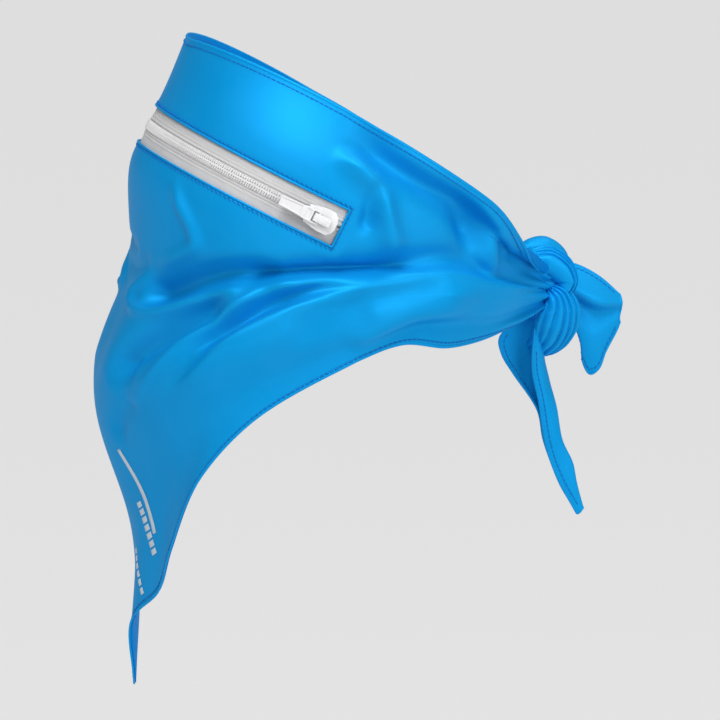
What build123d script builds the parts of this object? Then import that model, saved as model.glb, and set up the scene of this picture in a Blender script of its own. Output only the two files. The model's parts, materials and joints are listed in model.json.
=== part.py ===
from build123d import *
import math
import os

# Triangular head scarf, tied behind the head, with a zip pocket round its brow.
# Frame: the wearer faces -Y, their left is +X, +Z is up, and the origin is the
# centre of the loop that the head fills. All sizes are millimetres.

# --- the loop at the top edge ---
RIM_HALF_DEPTH = 103.0
RIM_HALF_WIDTH = 76.0
RIM_TILT = 32.3
RIM_SIDE_RISE = 10.0
RIM_END = 174.0
RIM_STEPS = 12

# --- the zip, an arc in its own tilted plane ---
ZIP_RADIUS = 85.0
ZIP_TILT = 27.0
ZIP_CENTRE = (0.0, -30.0, -27.0)
ZIP_HALF_SPAN = 92.0
WINDOW_HALF_HEIGHT = 10.5
BAND_HALF_HEIGHT = 14.5
BAND_ROUND_END = 98.0

# --- cloth ---
SHELL_THICKNESS = 0.5
LINING_THICKNESS = 0.4
BAG_THICKNESS = 0.3
EDGE_GAP = 0.9
CLOTH_REACH = 0.985
BAG_REACH = 0.47
BAG_SPAN = (0.1, 0.5)
# how far each sheet lies inside the shell's face, from the rim down to the edge
LINING_DEPTHS = [0.9, 5.9, 5.9, 5.9, 5.0, 3.8, 2.4, 0.9]
BAG_DEPTHS = [0.7, 4.9, 4.9, 4.9, 3.6, 2.4, 1.4, 0.7]
COLUMNS = 15
ROW_STEPS = 16

# free edge from the front point to the knot, on the wearer's left and right
FRONT_POINT = (-32.0, -109.0, -276.0)
HEM_LEFT = [
    (-12, -114, -240), (16, -106, -220), (33, -103.6, -197), (57, -94.4, -158), (72, -70, -126),
    (78, -28, -101), (76, 5, -89), (66, 31, -93), (46, 57, -92), (24, 76, -89), (11, 85, -80),
]
HEM_RIGHT = [
    (-50, -103, -230), (-64, -96, -190), (-73, -82, -150), (-79, -52, -118), (-80, -16, -100),
    (-74, 14, -93), (-60, 44, -93), (-38, 67, -91), (-11, 85, -80),
]

# the stretch of each band edge that runs from the round part to the knot
BAND_TOP_RUN = [(72, 28, -26), (47, 60, -44), (10, 87, -61)]
BAND_BOTTOM_RUN = [(74, 20, -54), (50, 55, -67), (10, 87, -71)]

# how far the front hangs proud of a straight line from the zip to the point:
# the share of the way down, the amount at the front, and the amount at the side
BELLY = [(0.25, 8.0, 5.0), (0.47, 19.0, 8.0), (0.75, 6.0, 3.0)]

# --- zip chain ---
TAPE_THICKNESS = 0.6
TAPE_OUTER_RADIUS = 84.2
COIL_WIDTH = 2.5
COIL_HEIGHT = 2.2
CHAIN_GAP = 1.2
STOP_ANGLE = 1.4
STOP_GAP_ANGLE = 1.0
TAPE_EDGE = 12.4
TAPE_OVERRUN = 1.5
FACING_WIDTH = 1.1

# --- slider ---
SLIDER_ANGLE = 84.5
SLIDER_BASE_RADIUS = 84.0
SLIDER_LENGTH = 16.5
SLIDER_WIDTH = 12.4
SLIDER_TAIL_WIDTH = 9.6
PLATE_THICKNESS = 1.3
CHANNEL_FLOOR = -1.15
CHANNEL_ROOF = 2.9
FLANGE_BOTTOM = 0.6
FLANGE_THICKNESS = 1.1
POST_THICKNESS = 0.8
POST_LENGTH = 4.5
CAP_LENGTH = 9.0
CAP_WIDTH = 4.4
CAP_RISE = 3.2
CAP_WALL = 1.0
PIN_X = -2.0
PAWL_THICKNESS = 0.6
PULL_LENGTH = 21.0
PULL_FREE_WIDTH = 5.0
PULL_ROOT_WIDTH = 7.2
PULL_THICKNESS = 1.5
PULL_PIN_RADIUS = 0.7
PULL_HEIGHT = 5.5
PULL_DROOP = 4.0

# --- knot and tie tails ---
KNOT_CENTRE = (0.0, 94.0, -79.0)
KNOT_RING_RADIUS = 16.5
KNOT_WRAP_DEPTH = 10.0
KNOT_WRAP_WIDTH = 13.0
KNOT_LEAN = 8.0
KNOT_TALL = 1.28
KNOT_SLIM = 0.82
KNOT_CORE_RADIUS = 10.5
KNOT_CORE_LENGTH = 26.0
TAIL_THICKNESS = 3.0
TAIL_LEFT_X = 8.0
TAIL_RIGHT_X = -14.0
TAIL_LEFT_OUTLINE = [
    (84, -94), (77, -108), (78, -120), (85, -136), (90, -156), (96, -173), (104, -186), (109, -191),
    (112, -189), (105, -171), (100, -154), (97, -137), (95, -112), (94, -96),
]
TAIL_RIGHT_OUTLINE = [
    (108, -64), (113, -66), (137, -87), (138, -92), (133, -108), (125, -121), (121, -123), (118, -119),
    (119, -105), (115, -92), (108, -82),
]

os.makedirs("parts", exist_ok=True)


def save(name, shape):
    """Write one sub-part."""
    export_step(shape, f"parts/{name}.step")


# --- frames -----------------------------------------------------------------
zip_tilt = math.radians(ZIP_TILT)
ZIP_FRONT = Vector(0, -math.cos(zip_tilt), math.sin(zip_tilt))
ZIP_AXIS = Vector(0, math.sin(zip_tilt), math.cos(zip_tilt))
zip_plane = Plane(origin=ZIP_CENTRE, x_dir=ZIP_FRONT, z_dir=ZIP_AXIS)


def on_zip(angle, radius, height):
    """Point at an angle round the zip arc, with +X at positive angles."""
    turn = math.radians(angle)
    return zip_plane.from_local_coords(
        Vector(radius * math.cos(turn), radius * math.sin(turn), height)
    )


def slider_plane(angle):
    """Frame on the zip chain: x along the closing direction, z outward."""
    turn = math.radians(angle)
    along = ZIP_FRONT * -math.sin(turn) + Vector(1, 0, 0) * math.cos(turn)
    outward = ZIP_FRONT * math.cos(turn) + Vector(1, 0, 0) * math.sin(turn)
    return Plane(origin=on_zip(angle, SLIDER_BASE_RADIUS, 0), x_dir=along, z_dir=outward)


def mirrored(points):
    """The same points on the wearer's right."""
    return [(-x, y, z) for x, y, z in points]


# --- the cloth's guide lines, one edge each, from the front to the knot ------
def rim_line(side):
    tilt = math.radians(RIM_TILT)
    points = []
    for step in range(RIM_STEPS + 1):
        turn = math.radians(step * RIM_END / RIM_STEPS)
        along = RIM_HALF_DEPTH * math.cos(turn)
        rise = RIM_SIDE_RISE * math.sin(turn) ** 2
        points.append((
            side * RIM_HALF_WIDTH * math.sin(turn),
            -along * math.cos(tilt) + rise * math.sin(tilt),
            along * math.sin(tilt) + rise * math.cos(tilt),
        ))
    return Spline(*points)


def band_line(side, height, run):
    round_part = [on_zip(side * step * BAND_ROUND_END / 8, ZIP_RADIUS, height) for step in range(9)]
    return Spline(*round_part, *(run if side > 0 else mirrored(run)))


def hem_line(side):
    return Spline(FRONT_POINT, *(HEM_LEFT if side > 0 else HEM_RIGHT))


GUIDES = {
    side: [
        rim_line(side),
        band_line(side, BAND_HALF_HEIGHT, BAND_TOP_RUN),
        band_line(side, -BAND_HALF_HEIGHT, BAND_BOTTOM_RUN),
        hem_line(side),
    ]
    for side in (1, -1)
}


def at_share(edge, share):
    """Point at a share of an edge's length."""
    return edge.position_at(share * edge.length, position_mode=PositionMode.LENGTH)


def inward(point, amount):
    """Move a point level towards the middle of the head."""
    level = Vector(point.X, point.Y - 5, 0)
    return point - level.normalized() * amount


def band_middle(top, bottom):
    """Middle of the band, kept as round as its two edges where they are round."""
    middle = (top + bottom) * 0.5
    local = zip_plane.to_local_coords(middle)
    edge = zip_plane.to_local_coords(top)
    swell = math.hypot(edge.X, edge.Y) / math.hypot(local.X, local.Y)
    if swell > 1.05:
        return middle
    return zip_plane.from_local_coords(Vector(local.X * swell, local.Y * swell, local.Z))


def cloth_column(place, depths):
    """Points down one column of the cloth, set in from its outer face by depths."""
    share = abs(place)
    rim, top, bottom, hem = [at_share(edge, share) for edge in GUIDES[1 if place >= 0 else -1]]
    column = [rim, top, band_middle(top, bottom), bottom]
    fade = math.cos(math.pi / 2 * share)
    for down, front_bulge, side_bulge in BELLY:
        bulge = side_bulge * fade + (front_bulge - side_bulge) * fade ** 4
        column.append(inward(bottom + (hem - bottom) * down, -bulge))
    column.append(hem)
    roomy = 1 - share ** 4
    return [
        inward(point, depth * roomy + min(depth, EDGE_GAP) * (1 - roomy))
        for point, depth in zip(column, depths)
    ]


def cloth_face(depths, span, reach):
    """A curved face of the cloth over a span of its columns, 0 at the rim."""
    grid = []
    for step in range(COLUMNS, -COLUMNS - 1, -1):
        line = Spline(*cloth_column(reach * step / COLUMNS, depths))
        shares = [span[0] + (span[1] - span[0]) * row / ROW_STEPS for row in range(ROW_STEPS + 1)]
        grid.append([line @ share for share in shares])
    return Face.make_surface_from_array_of_points(grid, tol=0.05)


def cloth_solid(depths, thickness, span=(0.0, 1.0), reach=CLOTH_REACH):
    """A sheet of the cloth over a span of its columns, with its thickness inwards."""
    outer = cloth_face(depths, span, reach)
    inner = cloth_face([depth + thickness for depth in depths], span, reach)
    walls = []
    for edge in outer.edges():
        other = inner.edges().sort_by_distance(edge @ 0.5)[0]
        if (edge @ 0 - other @ 0).length > (edge @ 0 - other @ 1).length:
            other = Edge(other.wrapped.Reversed())
        walls.append(Face.make_surface_from_curves(edge, other))
    solid = Solid(Shell([outer, inner, *walls]))
    return solid if solid.volume > 0 else Solid(solid.wrapped.Reversed())


def zip_ring(radii, heights, angles):
    """A rectangular section carried round the zip arc between two angles."""
    width = radii[1] - radii[0]
    tall = heights[1] - heights[0]
    section = Plane.XZ * Pos((radii[0] + radii[1]) / 2, (heights[0] + heights[1]) / 2) * Rectangle(width, tall)
    ring = revolve(section, axis=Axis.Z, revolution_arc=angles[1] - angles[0])
    return zip_plane * (Rot(0, 0, angles[0]) * ring)


# --- cloth sheets -------------------------------------------------------------
def shell_panel():
    """Outer satin triangle, with the window for the zip."""
    sheet = cloth_solid([0.0] * 8, SHELL_THICKNESS)
    window = zip_ring(
        (ZIP_RADIUS - 8, ZIP_RADIUS + 8),
        (-WINDOW_HALF_HEIGHT, WINDOW_HALF_HEIGHT),
        (-ZIP_HALF_SPAN, ZIP_HALF_SPAN),
    )
    return sheet - window


def lining_panel():
    """Inner layer against the head, held off the shell by the pocket."""
    return cloth_solid(LINING_DEPTHS, LINING_THICKNESS)


def pocket_bag():
    """Back of the pocket, from above the zip down into the front."""
    return cloth_solid(BAG_DEPTHS, BAG_THICKNESS, span=BAG_SPAN, reach=BAG_REACH)


# --- zip chain ----------------------------------------------------------------
def tape(side):
    """Woven tape on one side of the chain: +1 above it, -1 below."""
    heights = sorted((side * CHAIN_GAP / 2, side * TAPE_EDGE))
    span = ZIP_HALF_SPAN + TAPE_OVERRUN
    return zip_ring((TAPE_OUTER_RADIUS - TAPE_THICKNESS, TAPE_OUTER_RADIUS), heights, (-span, span))


def coil(side):
    """Coil of one side, standing on the outer face of its tape."""
    heights = sorted((side * CHAIN_GAP / 2, side * (CHAIN_GAP / 2 + COIL_WIDTH)))
    span = ZIP_HALF_SPAN - STOP_ANGLE - STOP_GAP_ANGLE
    return zip_ring((TAPE_OUTER_RADIUS, TAPE_OUTER_RADIUS + COIL_HEIGHT), heights, (-span, span))


def top_stops():
    """Two small stops past the parked slider, one on each tape."""
    end = ZIP_HALF_SPAN - 0.4
    low = CHAIN_GAP / 2 + 0.3
    radii = (TAPE_OUTER_RADIUS, TAPE_OUTER_RADIUS + COIL_HEIGHT)
    pair = [
        zip_ring(radii, sorted((side * low, side * (low + COIL_WIDTH))), (end - STOP_ANGLE, end))
        for side in (1, -1)
    ]
    return Compound(children=pair)


def bottom_stop():
    """One stop across both coils at the other end."""
    half = CHAIN_GAP / 2 + COIL_WIDTH
    end = ZIP_HALF_SPAN - 0.4
    radii = (TAPE_OUTER_RADIUS, TAPE_OUTER_RADIUS + COIL_HEIGHT + 0.3)
    return zip_ring(radii, (-half, half), (-end, STOP_ANGLE - end))


def window_facing():
    """Folded satin strip that edges the window, four sides of it."""
    radii = (TAPE_OUTER_RADIUS, ZIP_RADIUS - 0.1)
    inner = WINDOW_HALF_HEIGHT - FACING_WIDTH
    end = ZIP_HALF_SPAN
    turn = math.degrees(FACING_WIDTH / ZIP_RADIUS)
    strips = [
        zip_ring(radii, (inner, WINDOW_HALF_HEIGHT - 0.1), (-end, end)),
        zip_ring(radii, (0.1 - WINDOW_HALF_HEIGHT, -inner), (-end, end)),
        zip_ring(radii, (-inner, inner), (end - turn / 4, end)),
        zip_ring(radii, (-inner, inner), (-end, turn / 4 - end)),
    ]
    return strips[0] + strips[1] + strips[2] + strips[3]


# --- slider, drawn on its own frame: x closes the zip, z points outward ---------
def plate_outline(length, tail, nose):
    """Slider plate seen from outside: narrow tail, round shoulders at the nose."""
    half = length / 2
    return Polygon(
        (-half, -tail / 2), (half * 0.1, -nose / 2), (half * 0.75, -nose / 2), (half, -nose * 0.2),
        (half, nose * 0.2), (half * 0.75, nose / 2), (half * 0.1, nose / 2), (-half, tail / 2),
        align=None,
    )


def slider_body():
    """Two plates and a post cast in one, with flanges that guide the coils."""
    outline = plate_outline(SLIDER_LENGTH, SLIDER_TAIL_WIDTH, SLIDER_WIDTH)
    roof = Pos(0, 0, CHANNEL_ROOF) * extrude(outline, PLATE_THICKNESS)
    floor = Pos(0, 0, CHANNEL_FLOOR - PLATE_THICKNESS) * extrude(outline, PLATE_THICKNESS)
    inner = plate_outline(
        SLIDER_LENGTH + 1, SLIDER_TAIL_WIDTH - 2 * FLANGE_THICKNESS, SLIDER_WIDTH - 2 * FLANGE_THICKNESS
    )
    flange = extrude(outline, CHANNEL_ROOF - FLANGE_BOTTOM) - extrude(inner, CHANNEL_ROOF)
    flange -= Pos(SLIDER_LENGTH / 2, 0, 0) * Box(4, SLIDER_WIDTH, 20)
    flange = Pos(0, 0, FLANGE_BOTTOM) * flange
    post = Pos(SLIDER_LENGTH / 2 - POST_LENGTH / 2 - 0.8, 0, (CHANNEL_ROOF + CHANNEL_FLOOR) / 2)
    post *= Box(POST_LENGTH, POST_THICKNESS, CHANNEL_ROOF - CHANNEL_FLOOR)
    body = roof + floor + flange + post
    return fillet(body.edges().filter_by(Axis.Z).group_by(Axis.X)[-1], 0.8)


def slider_cap():
    """Bridge over the slider that holds the pull's pin."""
    base = CHANNEL_ROOF + PLATE_THICKNESS
    side = Plane.XZ * Pos(0, base) * Polygon(
        (-CAP_LENGTH / 2, 0), (-CAP_LENGTH / 2 + 0.9, CAP_RISE), (CAP_LENGTH / 2 - 1.2, CAP_RISE),
        (CAP_LENGTH / 2, 0), align=None,
    )
    block = extrude(side, CAP_WIDTH / 2, both=True)
    room = Pos(0, 0, base + (CAP_RISE - CAP_WALL) / 2) * Box(
        CAP_LENGTH - 2 * CAP_WALL - 1.0, CAP_WIDTH + 1, CAP_RISE - CAP_WALL
    )
    return block - room


def locking_pawl():
    """Spring plate under the cap whose tooth drops between the coils."""
    base = CHANNEL_ROOF + PLATE_THICKNESS
    return Pos(1.6, 0, base + PAWL_THICKNESS / 2) * Box(2.2, 2.0, PAWL_THICKNESS)


def pull_tab():
    """Tapered pull with a raised rim, a long slot and a pin across its root."""
    root = PIN_X
    free = PIN_X - PULL_LENGTH
    middle = PULL_HEIGHT
    outline = Polygon(
        (root + 0.8, -PULL_ROOT_WIDTH / 2), (root + 0.8, PULL_ROOT_WIDTH / 2),
        (free + 1.0, PULL_FREE_WIDTH / 2), (free, PULL_FREE_WIDTH / 2 - 1.0),
        (free, 1.0 - PULL_FREE_WIDTH / 2), (free + 1.0, -PULL_FREE_WIDTH / 2), align=None,
    )
    tab = Pos(0, 0, middle) * extrude(outline, PULL_THICKNESS / 2, both=True)
    tab -= Pos(root - 0.4, 0, middle) * Box(5.6, CAP_WIDTH + 0.9, 4)
    tab -= Pos(free + 6.6, 0, middle) * Box(7.6, 2.4, 4)
    pin = Pos(root, 0, middle) * Rot(90, 0, 0) * Cylinder(PULL_PIN_RADIUS, PULL_ROOT_WIDTH - 0.6)
    hung = Pos(root, 0, middle) * Rot(0, -PULL_DROOP, 0) * Pos(-root, 0, -middle)
    return hung * (tab + pin)


# --- knot and tie tails ---------------------------------------------------------
def knot_placed(shape):
    """Stretch a knot piece to the knot's tall shape and set it behind the head."""
    upright = scale(Rot(0, 90, 0) * shape, by=(1, KNOT_SLIM, KNOT_TALL))
    return Pos(*KNOT_CENTRE) * Rot(KNOT_LEAN, 0, 0) * upright


def knot_wrap():
    """Ring of cloth that goes once round the tie."""
    section = Plane.XZ * Pos(KNOT_RING_RADIUS, 0) * Ellipse(KNOT_WRAP_DEPTH / 2, KNOT_WRAP_WIDTH / 2)
    ring = revolve(section, axis=Axis.Z, revolution_arc=360)
    return knot_placed(ring)


def knot_core():
    """Gathered cloth that passes through the ring."""
    core = Cylinder(KNOT_CORE_RADIUS, KNOT_CORE_LENGTH)
    return knot_placed(core)


def tail(outline, across):
    """One tie end, a flat lobe that hangs in the plane of the head's side."""
    face = Plane.YZ * Polygon(*outline, align=None)
    return Pos(across, 0, 0) * extrude(face, TAIL_THICKNESS / 2, both=True)


SLIDER = slider_plane(SLIDER_ANGLE)
PARTS = {
    "shell_panel": shell_panel(),
    "lining_panel": lining_panel(),
    "pocket_bag": pocket_bag(),
    "zipper_tape_upper": tape(1),
    "zipper_tape_lower": tape(-1),
    "zipper_coil_upper": coil(1),
    "zipper_coil_lower": coil(-1),
    "zipper_top_stops": top_stops(),
    "zipper_bottom_stop": bottom_stop(),
    "window_facing": window_facing(),
    "slider_body": SLIDER * slider_body(),
    "slider_cap": SLIDER * slider_cap(),
    "locking_pawl": SLIDER * locking_pawl(),
    "pull_tab": SLIDER * pull_tab(),
    "knot_core": knot_core(),
    "knot_wrap": knot_wrap(),
    "tie_tail_left": tail(TAIL_LEFT_OUTLINE, TAIL_LEFT_X),
    "tie_tail_right": tail(TAIL_RIGHT_OUTLINE, TAIL_RIGHT_X),
}

for name, shape in PARTS.items():
    save(name, shape)

pin = SLIDER.from_local_coords(Vector(PIN_X, 0, PULL_HEIGHT))
print("zip axis point", ZIP_CENTRE, "direction", ZIP_AXIS)
print("pull pin point", pin, "direction", SLIDER.y_dir)
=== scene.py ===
"""Triangular satin head scarf with a zip pocket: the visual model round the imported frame."""
from __future__ import annotations

import json
import logging
import math
from dataclasses import dataclass
from enum import Enum
from typing import Callable

import bmesh
import bpy
import numpy as np
from mathutils import Matrix, Vector

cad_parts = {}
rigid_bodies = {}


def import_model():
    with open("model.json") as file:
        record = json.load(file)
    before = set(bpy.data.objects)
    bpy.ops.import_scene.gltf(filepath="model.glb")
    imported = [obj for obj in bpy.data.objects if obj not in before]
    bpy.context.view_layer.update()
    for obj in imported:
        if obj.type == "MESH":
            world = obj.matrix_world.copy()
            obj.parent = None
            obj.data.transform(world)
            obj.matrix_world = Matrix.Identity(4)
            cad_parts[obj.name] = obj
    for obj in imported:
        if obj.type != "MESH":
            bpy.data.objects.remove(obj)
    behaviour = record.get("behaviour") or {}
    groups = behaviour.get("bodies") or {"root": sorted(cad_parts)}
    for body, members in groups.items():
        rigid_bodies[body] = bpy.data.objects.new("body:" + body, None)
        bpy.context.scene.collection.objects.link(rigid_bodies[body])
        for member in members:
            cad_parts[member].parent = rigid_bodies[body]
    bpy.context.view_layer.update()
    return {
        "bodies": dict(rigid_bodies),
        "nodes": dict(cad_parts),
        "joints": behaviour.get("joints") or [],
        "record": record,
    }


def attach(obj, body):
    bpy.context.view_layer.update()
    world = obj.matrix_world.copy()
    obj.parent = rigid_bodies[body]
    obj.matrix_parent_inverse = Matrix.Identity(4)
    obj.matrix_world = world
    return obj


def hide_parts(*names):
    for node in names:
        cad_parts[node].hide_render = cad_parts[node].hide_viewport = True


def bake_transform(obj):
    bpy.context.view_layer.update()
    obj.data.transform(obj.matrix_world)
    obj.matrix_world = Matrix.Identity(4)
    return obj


log = logging.getLogger("head_scarf")

MM = 0.001
# how far a rod's rounded end stands out, as a share of its radius
ROD_END = 0.8
# a lap's crisp edge in millimetres, and the depth, place and width of its tuck as shares of its own
LAP_EDGE = 1.2
TUCK_DEPTH = 0.5
TUCK_PLACE = 0.35
TUCK_WIDTH = 0.4
Point = tuple[float, float, float]


# --- curves and grids ---------------------------------------------------------------------------
def smooth_line(points: list[Point], per_span: int = 20, before: Point | None = None) -> np.ndarray:
    """Draw a smooth line through a few points.

    Args:
        points: The points, in order.
        per_span: Steps between one point and the next.
        before: A point ahead of the first one that only sets the starting direction.

    Returns:
        The line's points, one row each.
    """
    spots = [np.array(p, float) for p in points]
    first = np.array(before, float) if before is not None else 2 * spots[0] - spots[1]
    spots = [first, *spots, 2 * spots[-1] - spots[-2]]
    line = []
    for p0, p1, p2, p3 in zip(spots, spots[1:], spots[2:], spots[3:]):
        t1 = np.linalg.norm(p1 - p0) ** 0.5
        t2 = t1 + np.linalg.norm(p2 - p1) ** 0.5
        t3 = t2 + np.linalg.norm(p3 - p2) ** 0.5
        for t in np.linspace(t1, t2, per_span, endpoint=False):
            a1 = p0 * (t1 - t) / t1 + p1 * t / t1
            a2 = p1 * (t2 - t) / (t2 - t1) + p2 * (t - t1) / (t2 - t1)
            a3 = p2 * (t3 - t) / (t3 - t2) + p3 * (t - t2) / (t3 - t2)
            b1 = a1 * (t2 - t) / t2 + a2 * t / t2
            b2 = a2 * (t3 - t) / (t3 - t1) + a3 * (t - t1) / (t3 - t1)
            line.append(b1 * (t2 - t) / (t2 - t1) + b2 * (t - t1) / (t2 - t1))
    return np.array([*line, spots[-2]])


def lengths(line: np.ndarray) -> np.ndarray:
    """Distance along a line at each of its points."""
    steps = np.linalg.norm(np.diff(line, axis=0), axis=1)
    return np.concatenate([[0.0], np.cumsum(steps)])


def at_lengths(line: np.ndarray, marks: np.ndarray | float, values: np.ndarray | None = None) -> np.ndarray:
    """Points of a line, or values that belong to its points, at distances along it."""
    far = lengths(line)
    values = line if values is None else values
    return np.stack([np.interp(marks, far, values[:, k]) for k in range(3)], axis=-1)

def along(line: np.ndarray, shares: np.ndarray) -> np.ndarray:
    """Points at given shares of a line's length."""
    return at_lengths(line, shares * lengths(line)[-1])

def round_turn(around: int) -> tuple[np.ndarray, np.ndarray]:
    """Cosines and sines of places spread evenly round a circle."""
    turn = np.linspace(0, 2 * np.pi, around, endpoint=False)
    return np.cos(turn), np.sin(turn)

def circles(first: np.ndarray, second: np.ndarray, around: int) -> np.ndarray:
    """Unit circles, each in the plane of its two directions."""
    cosine, sine = round_turn(around)
    return first[:, None] * cosine[None, :, None] + second[:, None] * sine[None, :, None]


def unit(vectors: np.ndarray) -> np.ndarray:
    """The same vectors at length 1."""
    return vectors / np.maximum(np.linalg.norm(vectors, axis=-1, keepdims=True), 1e-9)


def ease(value: np.ndarray, low: float, high: float) -> np.ndarray:
    """Smooth step from 0 at low to 1 at high."""
    t = np.clip((value - low) / (high - low), 0, 1)
    return t * t * (3 - 2 * t)


def grid_normals(grid: np.ndarray) -> np.ndarray:
    """Unit normals of a grid of points, on the side that its rows and columns turn to."""
    across = np.gradient(grid, axis=0)
    down = np.gradient(grid, axis=1)
    return unit(np.cross(across, down))


def soften(values: np.ndarray, passes: int) -> np.ndarray:
    """Average a grid with its neighbours a few times, its border kept."""
    for _ in range(passes):
        inner = values.copy()
        inner[1:-1, 1:-1] = 0.5 * values[1:-1, 1:-1] + 0.125 * (
            values[:-2, 1:-1] + values[2:, 1:-1] + values[1:-1, :-2] + values[1:-1, 2:]
        )
        values = inner
    return values


# --- the cloth's shape --------------------------------------------------------------------------
class FoldKind(Enum):
    """What a fold does to the cloth along its path."""

    VALLEY = "valley"
    RIDGE = "ridge"
    LAP = "lap"


@dataclass(frozen=True)
class Fold:
    """One soft fold, drawn as a path over the cloth.

    Each place on the path is (share, drop): share runs from 0 at the front to 1 at the knot, with
    the wearer's left positive, and drop from 0 at the rim to 1 at the free edge. A valley or ridge
    is round; a lap stands proud below its path with a crisp upper edge. The depth fades at both
    ends, unless open_end says that the fold runs on into the knot. Sizes are millimetres.
    """

    path: tuple[tuple[float, float], ...]
    depth: float
    width: float
    kind: FoldKind = FoldKind.VALLEY
    open_end: bool = False

    def profile(self, gap: np.ndarray, below: np.ndarray) -> np.ndarray:
        """How far out the cloth stands beside the path, as a share of the fold's depth.

        Args:
            gap: Distance of each point from the path, in millimetres.
            below: Positive where a point lies below the path.

        Returns:
            One share for each point.
        """
        if self.kind is FoldKind.LAP:
            away = gap * np.sign(below)
            proud = ease(away, -LAP_EDGE, LAP_EDGE) * np.exp(-np.maximum(away, 0) / self.width)
            tuck = np.exp(-((away + TUCK_PLACE * self.width) / (TUCK_WIDTH * self.width)) ** 2)
            return proud - TUCK_DEPTH * tuck
        swell = np.exp(-((gap / self.width) ** 2))
        return -swell if self.kind is FoldKind.VALLEY else swell


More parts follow.
